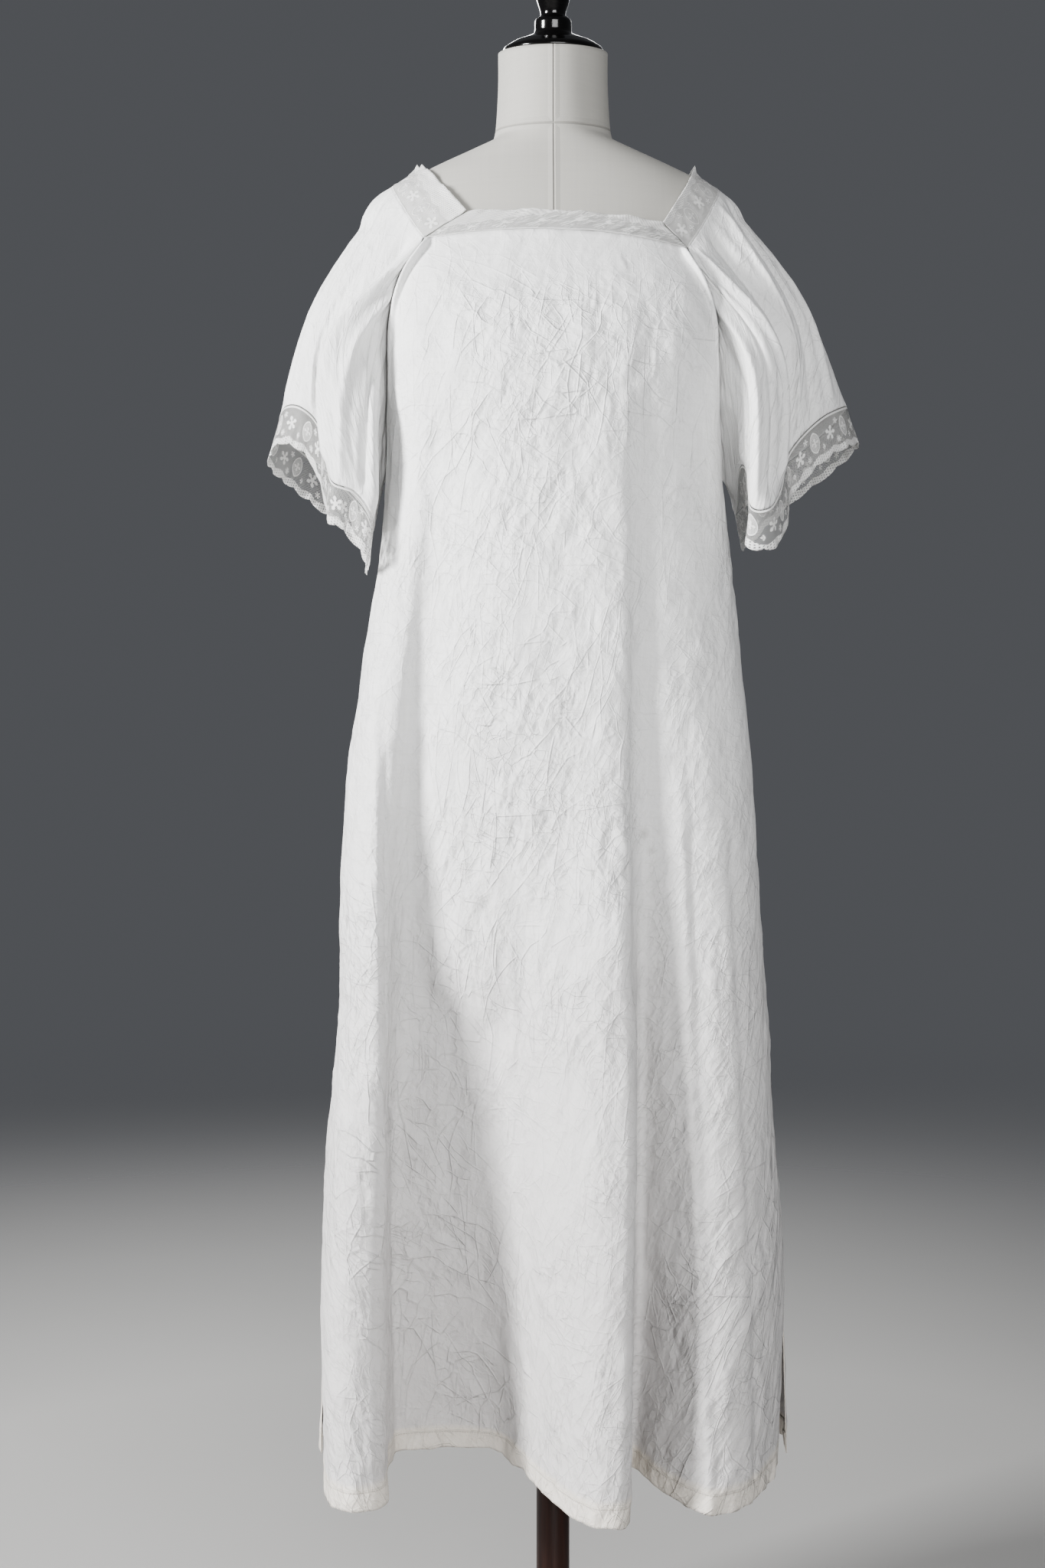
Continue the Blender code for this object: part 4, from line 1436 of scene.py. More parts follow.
@dataclass
class Form:
    """The canvas dress form: its shape, and what keeps the cloth off it."""

    rings: tuple[Ring, ...] = TORSO_RINGS
    falls: tuple[Ring, ...] = FALL_RINGS
    sides: int = 128
    rows: int = 140
    guard_sides: int = 96
    guard_rows: int = 120
    guard: BVHTree = field(init=False)

    def __post_init__(self) -> None:
        """Makes the surface that the cloth keeps clear of."""
        shell = self.shell(self.falls + self.rings, self.guard_sides, self.guard_rows)
        self.guard = BVHTree.FromBMesh(shell)
        shell.free()

    def points(self, rings: Sequence[Ring], sides: int, rows: int) -> np.ndarray:
        """Lays a grid of points on the form, from its neck down.

        Args:
            rings: Its levels, from the lowest.
            sides: Steps around.
            rows: Steps down.

        Returns:
            Rows, columns and coordinates, closed around.
        """
        turns = np.linspace(0, 2 * math.pi, sides + 1)
        grid = []
        for level in np.linspace(len(rings) - 1, 0, rows + 1):
            height, half_width, front, back = curve_at(range(len(rings)), rings, level)
            lift = math.tan(NECK_TILT) * fade(height, self.rings[-4].height, NECK_TOP)
            y = np.where(np.sin(turns) > 0, back, front) * np.sin(turns)
            grid.append(np.column_stack([half_width * np.cos(turns), y, height + lift * y]))
        return np.array(grid)

    def shell(self, rings: Sequence[Ring], sides: int, rows: int) -> bmesh.types.BMesh:
        """Makes a closed mesh of the form.

        Args:
            rings: Its levels, from the lowest.
            sides: Steps around.
            rows: Steps down.

        Returns:
            The mesh.
        """
        grid = self.points(rings, sides, rows)
        flat = np.zeros(grid.shape[:2])
        mesh = sheet_mesh(grid, (flat, flat), closed=True)
        bmesh.ops.holes_fill(mesh, edges=mesh.edges, sides=sides)
        bmesh.ops.recalc_face_normals(mesh, faces=mesh.faces)
        return mesh

    def clear(self, points: np.ndarray, gap: np.ndarray | float) -> np.ndarray:
        """Moves points that are too near to the form out to a gap.

        Args:
            points: The points.
            gap: The gap, one for all or one for each.

        Returns:
            The moved points.
        """
        gaps = np.broadcast_to(gap, points.shape[:-1]).ravel()
        moved = points.reshape(-1, 3).copy()
        for index, stand in enumerate(gaps):
            point = Vector(moved[index])
            surface, normal, _, _ = self.guard.find_nearest(point)
            if (point - surface).dot(normal) < stand:
                moved[index] = surface + normal * float(stand)
        return moved.reshape(points.shape)

    def laid(self, points: np.ndarray, gap: float) -> np.ndarray:
        """Lays points on the form.

        Args:
            points: The points.
            gap: How far off the form they come to lie.

        Returns:
            The nearest places at that gap.
        """
        moved = []
        for point in points.reshape(-1, 3):
            surface, normal, _, _ = self.guard.find_nearest(Vector(point))
            moved.append(surface + normal * gap)
        return np.array(moved).reshape(points.shape)

    def build(self, finish: CanvasFinish) -> bpy.types.Object:
        """Builds the covered form."""
        piece = linked("canvas_torso", self.shell(self.rings, self.sides, self.rows))
        return dressed(piece, finish.make(), ("form_torso",))


@dataclass
class NeckBand:
    """The mitred lace band round the neck, in four strips."""

    form: Form
    columns: int = 150
    rows: int = 24
    lap: float = 1.05
    lap_lift: float = 0.0009
    crumple: float = 0.0013
    curl: float = 0.0022
    # Strips that run over a shoulder, with the place of their raised tip
    tips: dict[int, float] = field(default_factory=lambda: {1: 0.50, 3: 0.52})
    tip_width: float = 0.055
    tip_height: float = 0.0080

    def line(self, strip: str, which: str, places: np.ndarray) -> np.ndarray:
        """Points on an edge of a strip, before it is laid on the form.

        Args:
            strip: Name of the strip.
            which: Its inner or its seam edge.
            places: Shares of its length.

        Returns:
            A point for each place.
        """
        ends = [getattr(BAND_CORNERS[name], which) for name in STRIPS[strip]]
        stations = [index / (len(ends) - 1) for index in range(len(ends))]
        return np.array([curve_at(stations, ends, place) for place in places])

    def points(self, strip: str, places: np.ndarray, down: float) -> np.ndarray:
        """Points of a strip that lies on the form.

        Args:
            strip: Name of the strip.
            places: Shares of its length.
            down: 0 at the inner edge, 1 at the seam.

        Returns:
            A point for each place.
        """
        flat = mix(self.line(strip, "inner", places), self.line(strip, "seam", places), down)
        return self.form.laid(flat, LACE_STAND)

    def seam(self, strip: str, places: np.ndarray, step: float, inner: float) -> np.ndarray:
        """Points past the seam, square to it.

        Args:
            strip: Name of the strip.
            places: Shares of its length.
            step: How far past the seam.
            inner: Share of the width that gives the direction.

        Returns:
            A point for each place.
        """
        seam, near = self.points(strip, places, 1.0), self.points(strip, places, inner)
        return seam + unit(seam - near) * step

    def relief(self, number: int, u: np.ndarray, v: np.ndarray, places: np.ndarray,
               downs: np.ndarray) -> np.ndarray:
        """How far the lace stands off its smooth strip.

        Args:
            number: Which strip.
            u: Distance along the lace.
            v: Distance from its seam.
            places: Shares of its length.
            downs: Shares of its width, 0 at the free edge.

        Returns:
            A height for each point.
        """
        height = self.crumple * creased(u / 0.021, v / 0.017, 60 + number, 1.4)
        height += BAND_RIPPLE.at(u, v, number)
        fixed = fade(1 - downs, 0.0, 0.12)[:, None]
        height = height * fixed + self.lap_lift * (1 - fixed)
        if number in self.tips:
            tip = np.exp(-((places - self.tips[number]) / self.tip_width) ** 2)
            height += self.tip_height * tip[None, :] * ((1 - downs[:, None]) ** 1.6)
        curl = self.curl * (1 + ripple(u / 0.012, v * 0, 90 + number))
        return height + curl * fade(1 - downs, 0.82, 1.0)[:, None]

    def build(self, straight: bpy.types.Material,
              strap: bpy.types.Material) -> list[bpy.types.Object]:
        """Builds the strips.

        Args:
            straight: Narrower lace of the front and back.
            strap: Wider lace of the shoulders.

        Returns:
            The four strips.
        """
        pieces = []
        places = np.linspace(0.002, 0.998, self.columns + 1)
        downs = np.linspace(0, 1, self.rows + 1)
        for number, strip in enumerate(STRIPS):
            grid = smoothed(np.array([self.points(strip, places, down * self.lap)
                                      for down in downs]), 3)
            u, v = lengths_along(grid, 1), lengths_along(grid[::-1], 0)[::-1]
            normals = surface_normals(grid)
            if normals[self.rows // 2, self.columns // 2] @ self.outward(grid) < 0:
                normals = -normals
            grid = grid + normals * self.relief(number, u, v, places, downs)[..., None]
            piece = sheet_object("lace_neck_" + strip, grid, (u, v))
            material = strap if number in self.tips else straight
            pieces.append(dressed(walled(piece, LACE_WALL), material,
                                  ("neck_lace_" + strip,)))
            size = (round(float(u.max()), 3), round(float(v.max()), 3))
            min(grid_area(grid), 0.95 * size[0] * size[1])
            LOG.info("%s: %.3f m2", piece.name, grid_area(grid))
        return pieces

    @staticmethod
    def outward(grid: np.ndarray) -> np.ndarray:
        """Direction out of the dress at the middle of a grid."""
        middle = grid[grid.shape[0] // 2, grid.shape[1] // 2]
        return np.array([middle[0], middle[1], 0.12])


def edges_at(height: float) -> Edge:
    """Reads the side edges of both panels.

    Args:
        height: Level above the floor.

    Returns:
        The edges, a seam's gap apart.
    """
    stations = [row.height for row in SIDE_EDGES]
    edge = Edge(height, *curve_at(stations, [row[1:] for row in SIDE_EDGES], height))
    return edge._replace(front_y=min(edge.front_y, SIDE_SEAM_Y - SEAM_GAP / 2),
                         back_y=max(edge.back_y, SIDE_SEAM_Y + SEAM_GAP / 2))


@dataclass
class Panel:
    """The front or back of the dress: one long piece of linen from the lace to the hem."""

    band: NeckBand
    side: Side
    front_cut: tuple[float, float] = (1.00, 1.25)
    back_cut: tuple[float, float] = (0.92, 1.28)
    cut_area: float = 0.77
    columns: int = 262
    body_rows: int = 178
    hem_rows: int = 8
    crease_depth: float = 0.0015
    pucker_depth: float = 0.0018
    slit_top: float = 0.425
    slit_turn: float = 0.009
    bodice_row: int = 60
    neighbour: "Panel | None" = None

    def __post_init__(self) -> None:
        """Picks this side's folds and seeds and reads where the folds start at the lace."""
        self.is_front = self.side is Side.FRONT
        self.folds = np.array(FRONT_FOLDS if self.is_front else BACK_FOLDS)
        self.top = YOKE_HEIGHT if self.is_front else BACK_YOKE_HEIGHT
        places = np.linspace(0, 1, len(self.folds))
        self.yoke = self.band.points(self.side.value, places, 1.0)[:, :2]
        self.seed, self.patch_seed, self.hem_seed = (10, 31, 50) if self.is_front else (40, 33, 54)

    def lace_seam(self, across: np.ndarray) -> np.ndarray:
        """Points of the panel's edge beside the lace."""
        return self.band.seam(self.side.value, across, SEAM_GAP + LINEN_WALL / 2, 0.9)

    def fold_points(self, height: float) -> np.ndarray:
        """Fits the crests and valleys between the side edges.

        Args:
            height: Level above the floor.

        Returns:
            Their places across and in depth.
        """
        stations = (HEM_HEIGHT, HIP_HEIGHT, BUST_HEIGHT, self.top)
        levels = (self.folds[:, 4:6], self.folds[:, 2:4], self.folds[:, 0:2], self.yoke)
        points = curve_at(stations, levels, height).copy()
        edge = edges_at(height)
        if self.is_front:
            left, right = (edge.left_front, edge.front_y), (edge.right_front, edge.front_y)
        else:
            left, right = (edge.left_back, edge.back_y), (edge.right_back, edge.back_y)
        share = np.linspace(0, 1, len(points))[:, None]
        moves = (left - points[0]) * (1 - share) ** 3 + (right - points[-1]) * share ** 3
        return points + moves

    def row(self, across: np.ndarray, down: float, seam: np.ndarray | None = None) -> np.ndarray:
        """Points of the smooth panel at one level.

        Args:
            across: Places from the left edge, 0, to the right one, 1.
            down: 0 at the yoke, 1 at the hem.
            seam: The points of the seam with the lace, where they are known.

        Returns:
            A point for each place.
        """
        if seam is None:
            seam = self.lace_seam(across)
        if down == 0:
            return seam
        height = mix(self.top, HEM_HEIGHT, down)
        own, other = self.fold_points(height), self.neighbour.fold_points(height)
        flat = through(np.vstack([other[1:2], own, other[-2:-1]]), across * (len(own) - 1))
        hem = HEM_HEIGHT + HEM_RISE_PER_DEPTH * (HEM_FRONT_REACH - np.abs(flat[:, 1]))
        near_top = fade(height, self.top - BAND_FADE, self.top)
        near_hem = 1 - fade(height, HEM_HEIGHT, HEM_HEIGHT + BAND_FADE)
        z = height + (seam[:, 2] - self.top) * near_top + (hem - HEM_HEIGHT) * near_hem
        points = np.column_stack([flat, z])
        return self.band.form.clear(points, mix(CLOTH_STAND, LACE_STAND, near_top ** 2))

    def smooth_grid(self) -> np.ndarray:
        """Grid of the panel before its creases, with even rows in the hem."""
        across = np.linspace(0, 1, self.columns + 1)
        turn = HEM_TURN / (self.top - HEM_HEIGHT)
        body = (1 - turn) * np.linspace(0, 1, self.body_rows + 1) ** 1.12
        downs = np.concatenate([body, 1 - turn + turn * np.linspace(0, 1, self.hem_rows + 1)[1:]])
        seam = self.lace_seam(across)
        grid = np.array([self.row(across, down, seam) for down in downs])
        return smoothed(grid, 2)

    def masks(self, grid: np.ndarray) -> dict[str, np.ndarray]:
        """Says how the cloth is treated at each point.

        Args:
            grid: The smooth panel.

        Returns:
            How crumpled it is, where it is turned in, and its height over the hem's edge.
        """
        x, z = grid[..., 0], grid[..., 2]
        u = lengths_along(grid, 1)
        to_edge = np.minimum(u, u[:, -1:] - u)
        hem = np.zeros_like(x)
        hem[-self.hem_rows - 1:] = 1.0
        slit = 1 - fade(to_edge, self.slit_turn, self.slit_turn + 0.0015)
        slit = fade(self.slit_top - z, 0.0, 0.004) * slit
        centre = fade(x, -0.135, -0.070) * (1 - fade(x, 0.055, 0.100))
        neck = fade(z, 1.40, 1.47)
        bodice = fade(z, 0.80, 0.95) * (1 - neck)
        patches = 0.5 + 0.5 * ripple(x / 0.055, z / 0.09, self.patch_seed)
        flute = (1 - fade(x, -0.185, -0.160)) * (1 - fade(z, 0.95, 1.10))
        skirt = 1 - fade(z, 0.75, 1.0)
        crumple = 0.62 + 0.33 * centre * bodice + 0.50 * patches + 0.35 * flute + 0.35 * skirt
        rise = lengths_along(grid[::-1], 0)[::-1]
        return {"hem": np.maximum(hem, slit),
                "crumple": np.clip(crumple * (1 - 0.65 * neck), 0.1, 1.5),
                "rise": np.minimum(rise, FAR_FROM_HEM)}

    def creases(self) -> list[Crease]:
        """The listed creases: the back's lie mirrored, lower and at another lean."""
        if self.is_front:
            return list(FRONT_CREASES)
        return [item._replace(x=0.012 - item.x * 1.05, z=item.z - 0.018, lean=-item.lean * 0.9)
                for item in FRONT_CREASES]

    def relief(self, grid: np.ndarray, u: np.ndarray, v: np.ndarray,
               crumple: np.ndarray) -> np.ndarray:
        """How far the creases stand out of the smooth panel.

        Args:
            grid: The smooth panel.
            u: Distance across the cloth.
            v: Distance down the cloth.
            crumple: How crumpled the cloth is.

        Returns:
            A height for each point.
        """
        x, z = grid[..., 0], grid[..., 2]
        height = pressed(self.creases(), x, z)
        for layer in MESH_LAYERS:
            turn = math.radians(layer.lean) * self.side.lean
            bend = 0.5 * ripple(u / 0.11, v / 0.13, self.seed + 20 + layer.seed)
            across = (u * math.cos(turn) + v * math.sin(turn)) / layer.width + bend
            along = (v * math.cos(turn) - u * math.sin(turn)) / layer.length
            patch = fade(ripple(x / 0.07, z / 0.10, self.seed + 10 + layer.seed), -0.5, 0.4)
            cones = facets(across, along, self.seed + 2 * layer.seed) - 0.5
            height += layer.share * self.crease_depth * crumple * patch * cones
        for ridge in FRONT_RIDGES if self.is_front else ():
            height += ridge.height_at(x, z)
        height += PANEL_SWAY.at(u, v, self.seed) * fade(v, 0.03, 0.15)
        gather = sum(wave.at(u, v, self.seed) for wave in PANEL_GATHERS)
        height += gather * (1 - fade(v, 0.0, 0.05)) * fade(v, 0.0, 0.006)
        pucker = np.clip(HEM_PUCKER.at(u, v, self.seed), -0.7, 1.0)
        height += self.pucker_depth * pucker * (1 - fade(v[-1:] - v, 0.016, 0.050))
        to_edge = np.minimum(u, u[:, -1:] - u)
        return height * fade(to_edge, 0.0, 0.012) * fade(v, 0.0, 0.004)

    def build(self, finish: bpy.types.Material) -> bpy.types.Object:
        """Builds the panel with the fold of its hem.

        Args:
            finish: The linen.

        Returns:
            The panel.
        """
        grid = self.smooth_grid()
        middle = self.columns // 2
        u = lengths_along(grid, 1)
        u = u - u[:, middle:middle + 1]
        v = lengths_along(grid, 0)
        masks = self.masks(grid)
        height = self.relief(grid, u - u[:, :1], v, masks["crumple"])
        normals = surface_normals(grid)
        if normals[self.bodice_row, middle, 1] * (-1 if self.is_front else 1) < 0:
            normals = -normals
        grid = grid + normals * height[..., None]
        low = 1 - fade(masks["rise"], 0.0, 0.030)
        grid[..., 2] += sum(wave.at(u, u * 0, self.hem_seed) for wave in HEM_WAVES) * low
        grid[1:] = self.band.form.clear(grid[1:], LACE_STAND)
        name = "linen_" + self.side.value
        flat = (u * self.side.lean + CLOTH_PLACES[self.side], v)
        piece = sheet_object(name, grid, flat, masks)
        dressed(walled(piece, LINEN_WALL), finish, (self.side.value,))
        turn = self.hem_fold(grid, normals, flat, finish)
        LOG.info("%s: rows %.3f to %.3f m, columns up to %.3f m, %.3f m2", name,
                 np.ptp(u, axis=1).min(), np.ptp(u, axis=1).max(), v.max(), grid_area(grid))
        return piece

    def hem_fold(self, grid: np.ndarray, normals: np.ndarray,
                 flat: tuple[np.ndarray, np.ndarray],
                 finish: bpy.types.Material) -> bpy.types.Object:
        """Builds the strip that is turned up inside the hem.

        Args:
            grid: The finished panel.
            normals: Its directions outward.
            flat: Its cloth coordinates.
            finish: The linen.

        Returns:
            The strip.
        """
        rows = slice(-self.hem_rows - 1, None)
        inside = grid[rows] - normals[rows] * (LINEN_WALL + 0.0004)
        inside[-1] = grid[-1] - normals[-1] * (0.6 * LINEN_WALL)
        masks = {key: np.full(inside.shape[:2], value)
                 for key, value in (("hem", 1.0), ("crumple", 0.3), ("rise", 0.01))}
        strip = sheet_object("hem_turn_" + self.side.value, inside,
                             (flat[0][rows], flat[1][rows]), masks)
        return dressed(walled(strip, LINEN_WALL * 0.8), finish, ())


@dataclass
class Sleeve:
    """A short wide sleeve that hangs in folds, with its lace."""

    front: Panel
    back: Panel
    hand: Hand
    cut: tuple[float, float] = (0.75, 0.29)
    cut_area: float = 0.096
    columns: int = 256
    rows: int = 110
    lace_columns: int = 528
    lace_rows: int = 16
    lace_width: float = 0.040
    scallops: int = 19
    scallop_depth: float = 0.0032
    lace_wave: float = 0.0016
    drape_share: float = 1.35
    flare: Triple = (0.10, 0.0, -0.6)
    plumb: float = 0.75

    def __post_init__(self) -> None:
        """Picks this side's ribs, drapes and seed."""
        is_left = self.hand is Hand.LEFT
        ribs = LEFT_RIBS if is_left else RIGHT_RIBS
        self.drapes = LEFT_DRAPES if is_left else RIGHT_DRAPES
        self.seed = 140 if is_left else 160
        self.seams = np.array([rib.seam for rib in ribs] + [3.0])
        self.hang = np.array([rib[1:4] for rib in ribs])
        self.cuff = np.array([rib[4:7] for rib in ribs])

    def armhole(self, seam: float) -> np.ndarray:
        """Finds a point beside the edge of the armhole.

        Args:
            seam: 0 at the armpit, 1 at the front corner, 2 at the back one, 3 at the armpit.

        Returns:
            The point.
        """
        if 1 <= seam <= 2:
            place = np.array([seam - 1])
            return self.front.band.seam(self.hand.value, place, ARMHOLE_STEP, 0.8)[0]
        panel = self.front if seam < 1 else self.back
        height = mix(ARMPIT_HEIGHT, panel.top, seam if seam < 1 else 3 - seam)
        down = (panel.top - height) / (panel.top - HEM_HEIGHT)
        place = np.array([0.0 if self.hand is Hand.LEFT else 1.0])
        return panel.row(place, down)[0] + np.array([self.hand.outward * ARMHOLE_STEP, 0, 0])

    def points(self, turns: np.ndarray, downs: np.ndarray) -> np.ndarray:
        """Lays points on the smooth sleeve.

        Args:
            turns: 0 to 1 around from the armpit by the front.
            downs: 0 at the armhole, 1 at the lace.

        Returns:
            Rows, columns and coordinates.
        """
        count = len(self.hang)
        seams = [curve_at(range(count + 1), self.seams, turn % 1.0 * count) for turn in turns]
        start = np.array([self.armhole(float(seam)) for seam in seams])
        hang, cuff = around(self.hang, turns), around(self.cuff, turns)
        grid = np.array([curve_at((0.0, 0.5, 1.0), (start, hang, cuff), down) for down in downs])
        gaps = CLOTH_STAND * fade(downs, -0.3, 0.2)
        return self.front.band.form.clear(grid, gaps[:, None])

    def relief(self, grid: np.ndarray, turns: np.ndarray, downs: np.ndarray) -> np.ndarray:
        """How far the drapes and creases stand out of the smooth sleeve.

        Args:
            grid: The smooth sleeve.
            turns: 0 to 1 around.
            downs: 0 to 1 down.

        Returns:
            A height for each point.
        """
        x, y = np.cos(turns * 2 * math.pi)[None, :], np.sin(turns * 2 * math.pi)[None, :]
        rows = downs[:, None]
        height = 0.0012 * ripple(x * 5.0 + 9.0, y * 5.0 + rows * 1.3, self.seed)
        height = height + 0.0007 * ripple(x * 13.0 + 3.0, y * 13.0 + rows * 2.0, self.seed + 1)
        gather = ripple(x * 22.0, y * 22.0 + rows, self.seed + 2)
        height = height + 0.0010 * gather * (1 - fade(rows, 0.0, 0.35))
        slant = grid[..., 1] / 0.02 + grid[..., 0] / 0.03
        height = height + 0.0006 * creased(slant, grid[..., 2] / 0.035, self.seed + 3, 3)
        shift = 0.010 * ripple(downs * 2.2, downs * 0, self.seed + 4)
        for drape in self.drapes:
            aside = (turns[None, :] - drape.place - shift[:, None]) / drape.width
            depth = self.drape_share * mix(drape.high, drape.low, rows)
            height = height + depth * np.exp(-np.abs(aside) ** 1.5)
        return height * (fade(rows, 0.0, 0.10) * (1 - fade(rows, 0.90, 1.0)))

    def build(self, linen: bpy.types.Material,
              lace: bpy.types.Material) -> list[bpy.types.Object]:
        """Builds the sleeve and its lace.

        Args:
            linen: Finish of the sleeve.
            lace: Finish of its lace.

        Returns:
            Both pieces.
        """
        turns = np.linspace(0, 1, self.columns + 1)
        downs = np.linspace(0, 1, self.rows + 1) ** 1.05
        grid = smoothed(self.points(turns, downs), 2, closed=True)
        u, v = lengths_along(grid, 1), lengths_along(grid, 0)
        middle = u - u[:, -1:] / 2
        height = self.relief(grid, turns, downs)
        normals = surface_normals(grid, closed=True)
        outer = np.argmax(grid[self.rows // 2, :, 0] * self.hand.outward)
        if normals[self.rows // 2, outer, 0] * self.hand.outward < 0:
            normals = -normals
        grid = grid + normals * height[..., None]
        crumple = np.broadcast_to(0.72 + 0.14 * fade(downs, 0.5, 1.0)[:, None], u.shape)
        masks = {"hem": np.zeros_like(u), "crumple": crumple,
                 "rise": np.full(u.shape, FAR_FROM_HEM)}
        name = "linen_sleeve_" + self.hand.value
        flat = (middle + CLOTH_PLACES[self.hand], v)
        piece = sheet_object(name, grid, flat, masks, closed=True)
        dressed(walled(piece, LINEN_WALL), linen, ("sleeve_" + self.hand.value,))
        edging = self.build_lace(lace)
        LOG.info("%s: around %.3f to %.3f m, down %.3f to %.3f m, %.3f m2", name,
                 u[:, -1].min(), u[:, -1].max(), v[-1].min(), v[-1].max(), grid_area(grid))
        return [piece, edging]

    def build_lace(self, finish: bpy.types.Material) -> bpy.types.Object:
        """Builds the scalloped lace at the sleeve's edge.

        Args:
            finish: Finish of the lace.

        Returns:
            The lace.
        """
        turns = np.linspace(0, 1, self.lace_columns + 1)
        before, end = self.points(turns, np.array([0.9, 1.0]))
        rim = unit(around(self.cuff, turns + 0.004) - around(self.cuff, turns - 0.004))
        flare = np.array(self.flare) * (self.hand.outward, 1, 1)
        fall = unit(unit(end - before) + flare)
        square = unit(fall - rim * (fall * rim).sum(axis=1, keepdims=True))
        scallop = 1 - np.abs(np.sin(math.pi * self.scallops * turns)) ** 0.7
        downs = np.linspace(0, 1, self.lace_rows + 1)
        reach = downs[:, None] * (self.lace_width - scallop * self.scallop_depth)
        start = end + square * (SEAM_GAP + LINEN_WALL)
        grid = start + mix(square, fall, self.plumb) * reach[..., None]
        u = np.broadcast_to(lengths_along(grid[:1], 1), reach.shape)
        whole = round(u.max() / LACE_REPEAT) * LACE_REPEAT
        angle = turns * 2 * math.pi
        wave = ripple(np.cos(angle) * 12 + 3, np.sin(angle) * 12, 7)
        lift = self.lace_wave * wave * fade(downs[:, None], 0.1, 1.0)
        grid = grid + np.cross(rim, square) * lift[..., None]
        flat = (u * (whole / u.max()), reach)
        piece = sheet_object("lace_cuff_" + self.hand.value, grid, flat, closed=True)
        dressed(walled(piece, LACE_WALL), finish,
                ("cuff_lace_" + self.hand.value,))
        LOG.info("%s: %.3f m around, %.3f m2", piece.name, u.max(), grid_area(grid))
        return piece


# Rim of the base: how far in from its widest place and how far down from its top
BASE_RIM = ((0.034, 0.0), (0.028, 0.0015), (0.024, 0.0045), (0.016, 0.0055), (0.008, 0.0070),
            (0.003, 0.0110), (0.0, 0.0170), (0.001, 0.0230), (0.005, 0.0270))


@dataclass
class Stand:
    """Black cap on the neck, wooden pole and round base."""

    pole_radius: float = 0.0168
    base_radius: float = 0.190
    base_thickness: float = 0.030
    steps: int = 96
    edge_width: float = 0.0008

    def cap_profile(self) -> list[tuple[float, float]]:
        """Smooth outline of the cap, with its collar's edges kept crisp."""
        rows = [CAP_PROFILE[0]]
        for first, second in zip(CAP_PROFILE, CAP_PROFILE[1:]):
            rows.extend(tuple(mix(np.array(first), np.array(second), t)) for t in (0.12, 0.5, 0.88))
            rows.append(second)
        soft = np.array(rows)
        for _ in range(2):
            soft[1:-1] = tent(soft)
        return [(max(float(radius), 0.0), float(height)) for radius, height in soft]

    def build(self, lacquer: LacquerFinish, wood: WoodFinish) -> list[bpy.types.Object]:
        """Builds the three turned pieces.

        Args:
            lacquer: Finish of the cap.
            wood: Finish of the pole and the base.

        Returns:
            Cap, pole and base.
        """
        seat = Vector((0, -math.sin(NECK_TILT), math.cos(NECK_TILT))) * SEAM_GAP
        cap = turned_object("turned_cap", self.cap_profile(), self.steps,
                            seat + Vector((0, 0, NECK_TOP)), NECK_TILT)
        radius, low = self.pole_radius, self.base_thickness + SEAM_GAP
        high = TORSO_BOTTOM - SEAM_GAP
        pole = turned_object("wood_pole", (
            (0, high), (radius, high), (radius, low + 0.012), (radius + 0.004, low + 0.008),
            (radius + 0.006, low + 0.003), (radius + 0.006, low), (0, low)),
            self.steps, Vector((0, 0, 0)))
        rim = [(self.base_radius - inward, self.base_thickness - down) for inward, down in BASE_RIM]
        rows = [(0, self.base_thickness), (0.030, self.base_thickness), *rim,
                (self.base_radius - 0.005, 0.0010), (self.base_radius - 0.006, 0), (0, 0)]
        base = turned_object("wood_base", rows, self.steps, Vector((0, 0, 0)))
        finish = wood.make()
        for piece in (pole, base):
            bevel = piece.modifiers.new("edges", "BEVEL")
            bevel.width, bevel.segments, bevel.limit_method = self.edge_width, 2, "ANGLE"
        return [dressed(cap, lacquer.make(), ("neck_cap",)),
                dressed(pole, finish, ("pole",)),
                dressed(base, finish, ("base",))]


class Lamp(NamedTuple):
    """A soft rectangular light: its place, size, power in watts and what it points at."""

    name: str
    place: Triple
    size: tuple[float, float]
    power: float
    aim: Triple


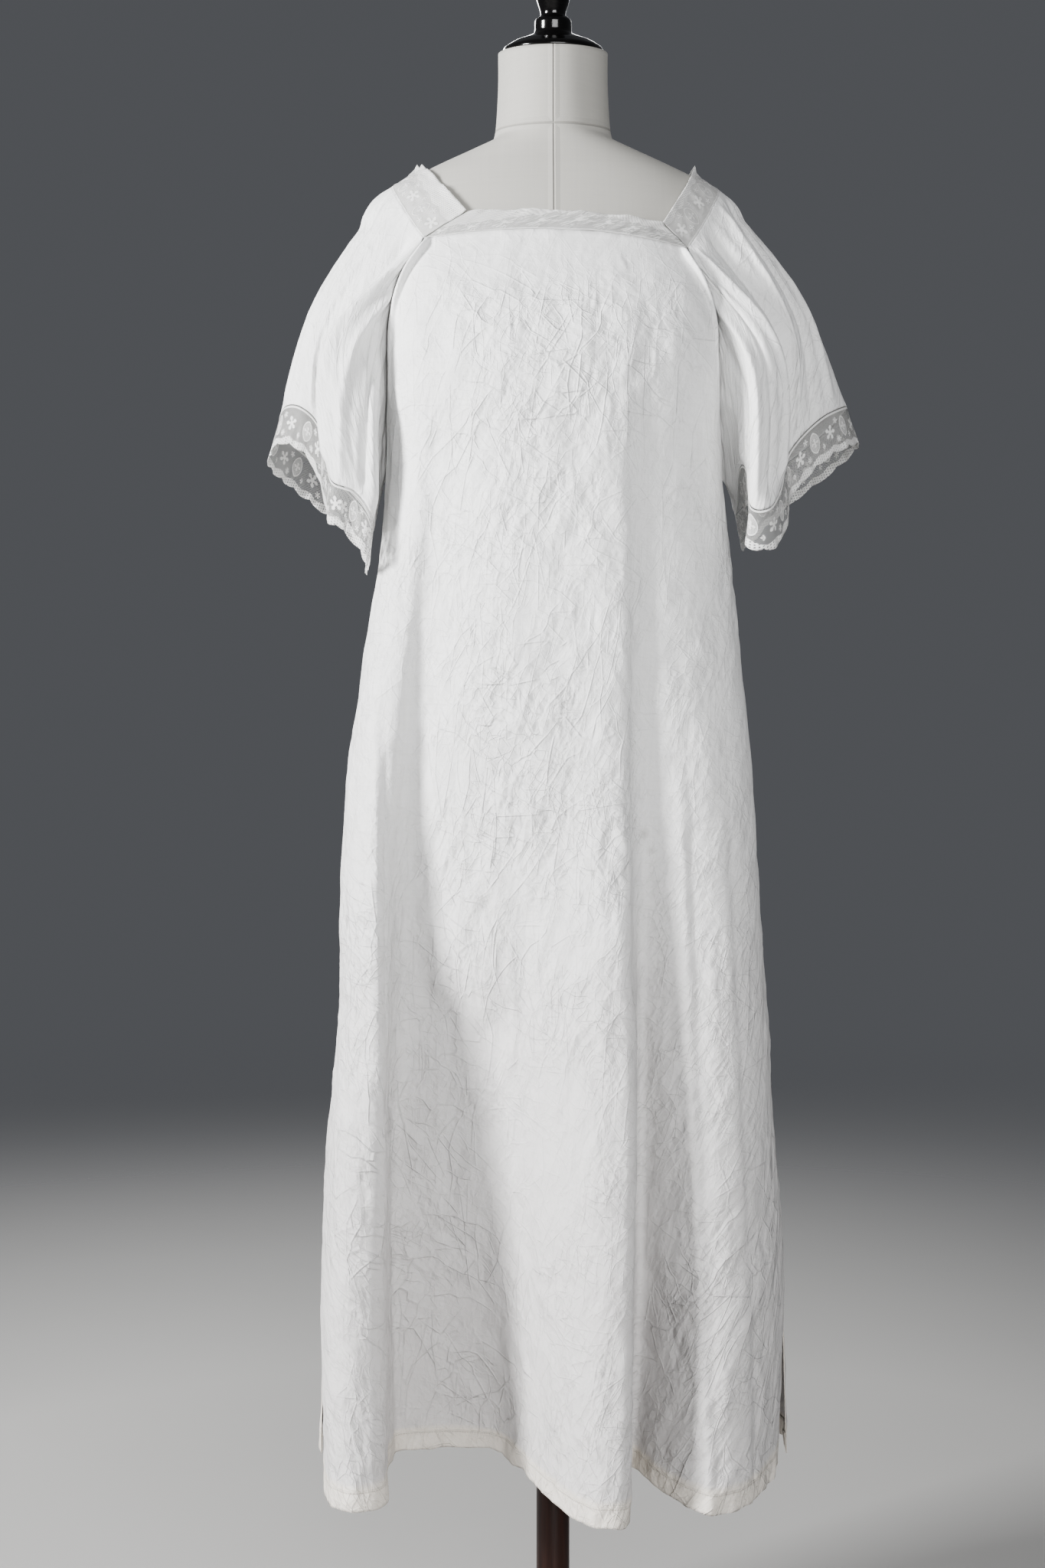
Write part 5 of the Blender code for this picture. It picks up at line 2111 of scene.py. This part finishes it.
@dataclass
class Studio:
    """Pale floor, soft lights and the camera."""

    camera_place: Triple = (-0.031, -1.9, 0.954)
    lens: float = 42.82
    sensor: float = 36.0
    floor_radius: float = 16.0
    floor_drop: float = 0.0005
    backdrop: Triple = (0.105, 0.108, 0.115)
    look: str = "AgX - High Contrast"
    lamps: tuple[Lamp, ...] = (
        Lamp("key", (-3.1, -1.50, 2.00), (0.8, 1.4), 172.0, (0.0, 0.0, 1.25)),
        Lamp("fill", (0.6, -3.1, 1.5), (1.8, 2.0), 60.0, (0.0, 0.0, 1.15)),
        Lamp("rear", (-0.6, 2.6, 2.4), (2.0, 1.4), 45.0, (0.0, 0.0, 1.0)))

    def light(self, lamp: Lamp) -> None:
        """Adds a soft rectangular light.

        Args:
            lamp: What it is like and where it points.
        """
        data = bpy.data.lights.new(lamp.name, "AREA")
        data.shape, data.size, data.size_y, data.energy = "RECTANGLE", *lamp.size, lamp.power
        item = bpy.data.objects.new(lamp.name, data)
        item.location = lamp.place
        toward = Vector(lamp.aim) - Vector(lamp.place)
        item.rotation_euler = toward.to_track_quat("-Z", "Y").to_euler()
        bpy.context.scene.collection.objects.link(item)

    def floor(self) -> None:
        """Builds the round floor, a hair under the stand."""
        disc = bmesh.new()
        bmesh.ops.create_circle(disc, cap_ends=True, segments=96, radius=self.floor_radius)
        bmesh.ops.recalc_face_normals(disc, faces=disc.faces)
        bmesh.ops.translate(disc, verts=disc.verts, vec=(0, 0, -self.floor_drop))
        floor = linked("floor", disc)
        floor.data.materials.append(FloorFinish().make())

    def build(self) -> None:
        """Builds the floor, the lights, the backdrop and the camera."""
        self.floor()
        scene = bpy.context.scene
        scene.world = bpy.data.worlds.new("studio")
        scene.world.use_nodes = True
        background = scene.world.node_tree.nodes["Background"]
        background.inputs["Color"].default_value = (*self.backdrop, 1.0)
        background.inputs["Strength"].default_value = 1.0
        scene.view_settings.look = self.look
        for lamp in self.lamps:
            self.light(lamp)
        lens = bpy.data.cameras.new("view")
        lens.lens, lens.sensor_width, lens.sensor_fit = self.lens, self.sensor, "AUTO"
        camera = bpy.data.objects.new("view", lens)
        camera.location = self.camera_place
        camera.rotation_euler = (math.pi / 2, 0, 0)
        scene.collection.objects.link(camera)
        scene.camera = camera


def main() -> None:
    """Builds the dress on its form, the stand and the studio."""
    logging.basicConfig(level=logging.INFO, format="%(name)s: %(message)s")
    form = Form()
    form.build(CanvasFinish())
    Stand().build(LacquerFinish(), WoodFinish())
    band = NeckBand(form)
    straight = LaceFinish(name="neck_lace", width=0.025, period=0.030, pitch=0.0013, density=0.62)
    strap = LaceFinish(name="strap_lace", width=0.036, period=0.040, pitch=0.0013, density=0.70)
    band.build(straight.make(), strap.make())
    linen = LinenFinish().make()
    front, back = Panel(band, Side.FRONT), Panel(band, Side.BACK)
    front.neighbour, back.neighbour = back, front
    front.build(linen)
    back.build(linen)
    cuff_lace = LaceFinish(name="cuff_lace").make()
    for hand in Hand:
        Sleeve(front, back, hand).build(linen, cuff_lace)
    Studio().build()


if __name__ == "__main__":
    main()
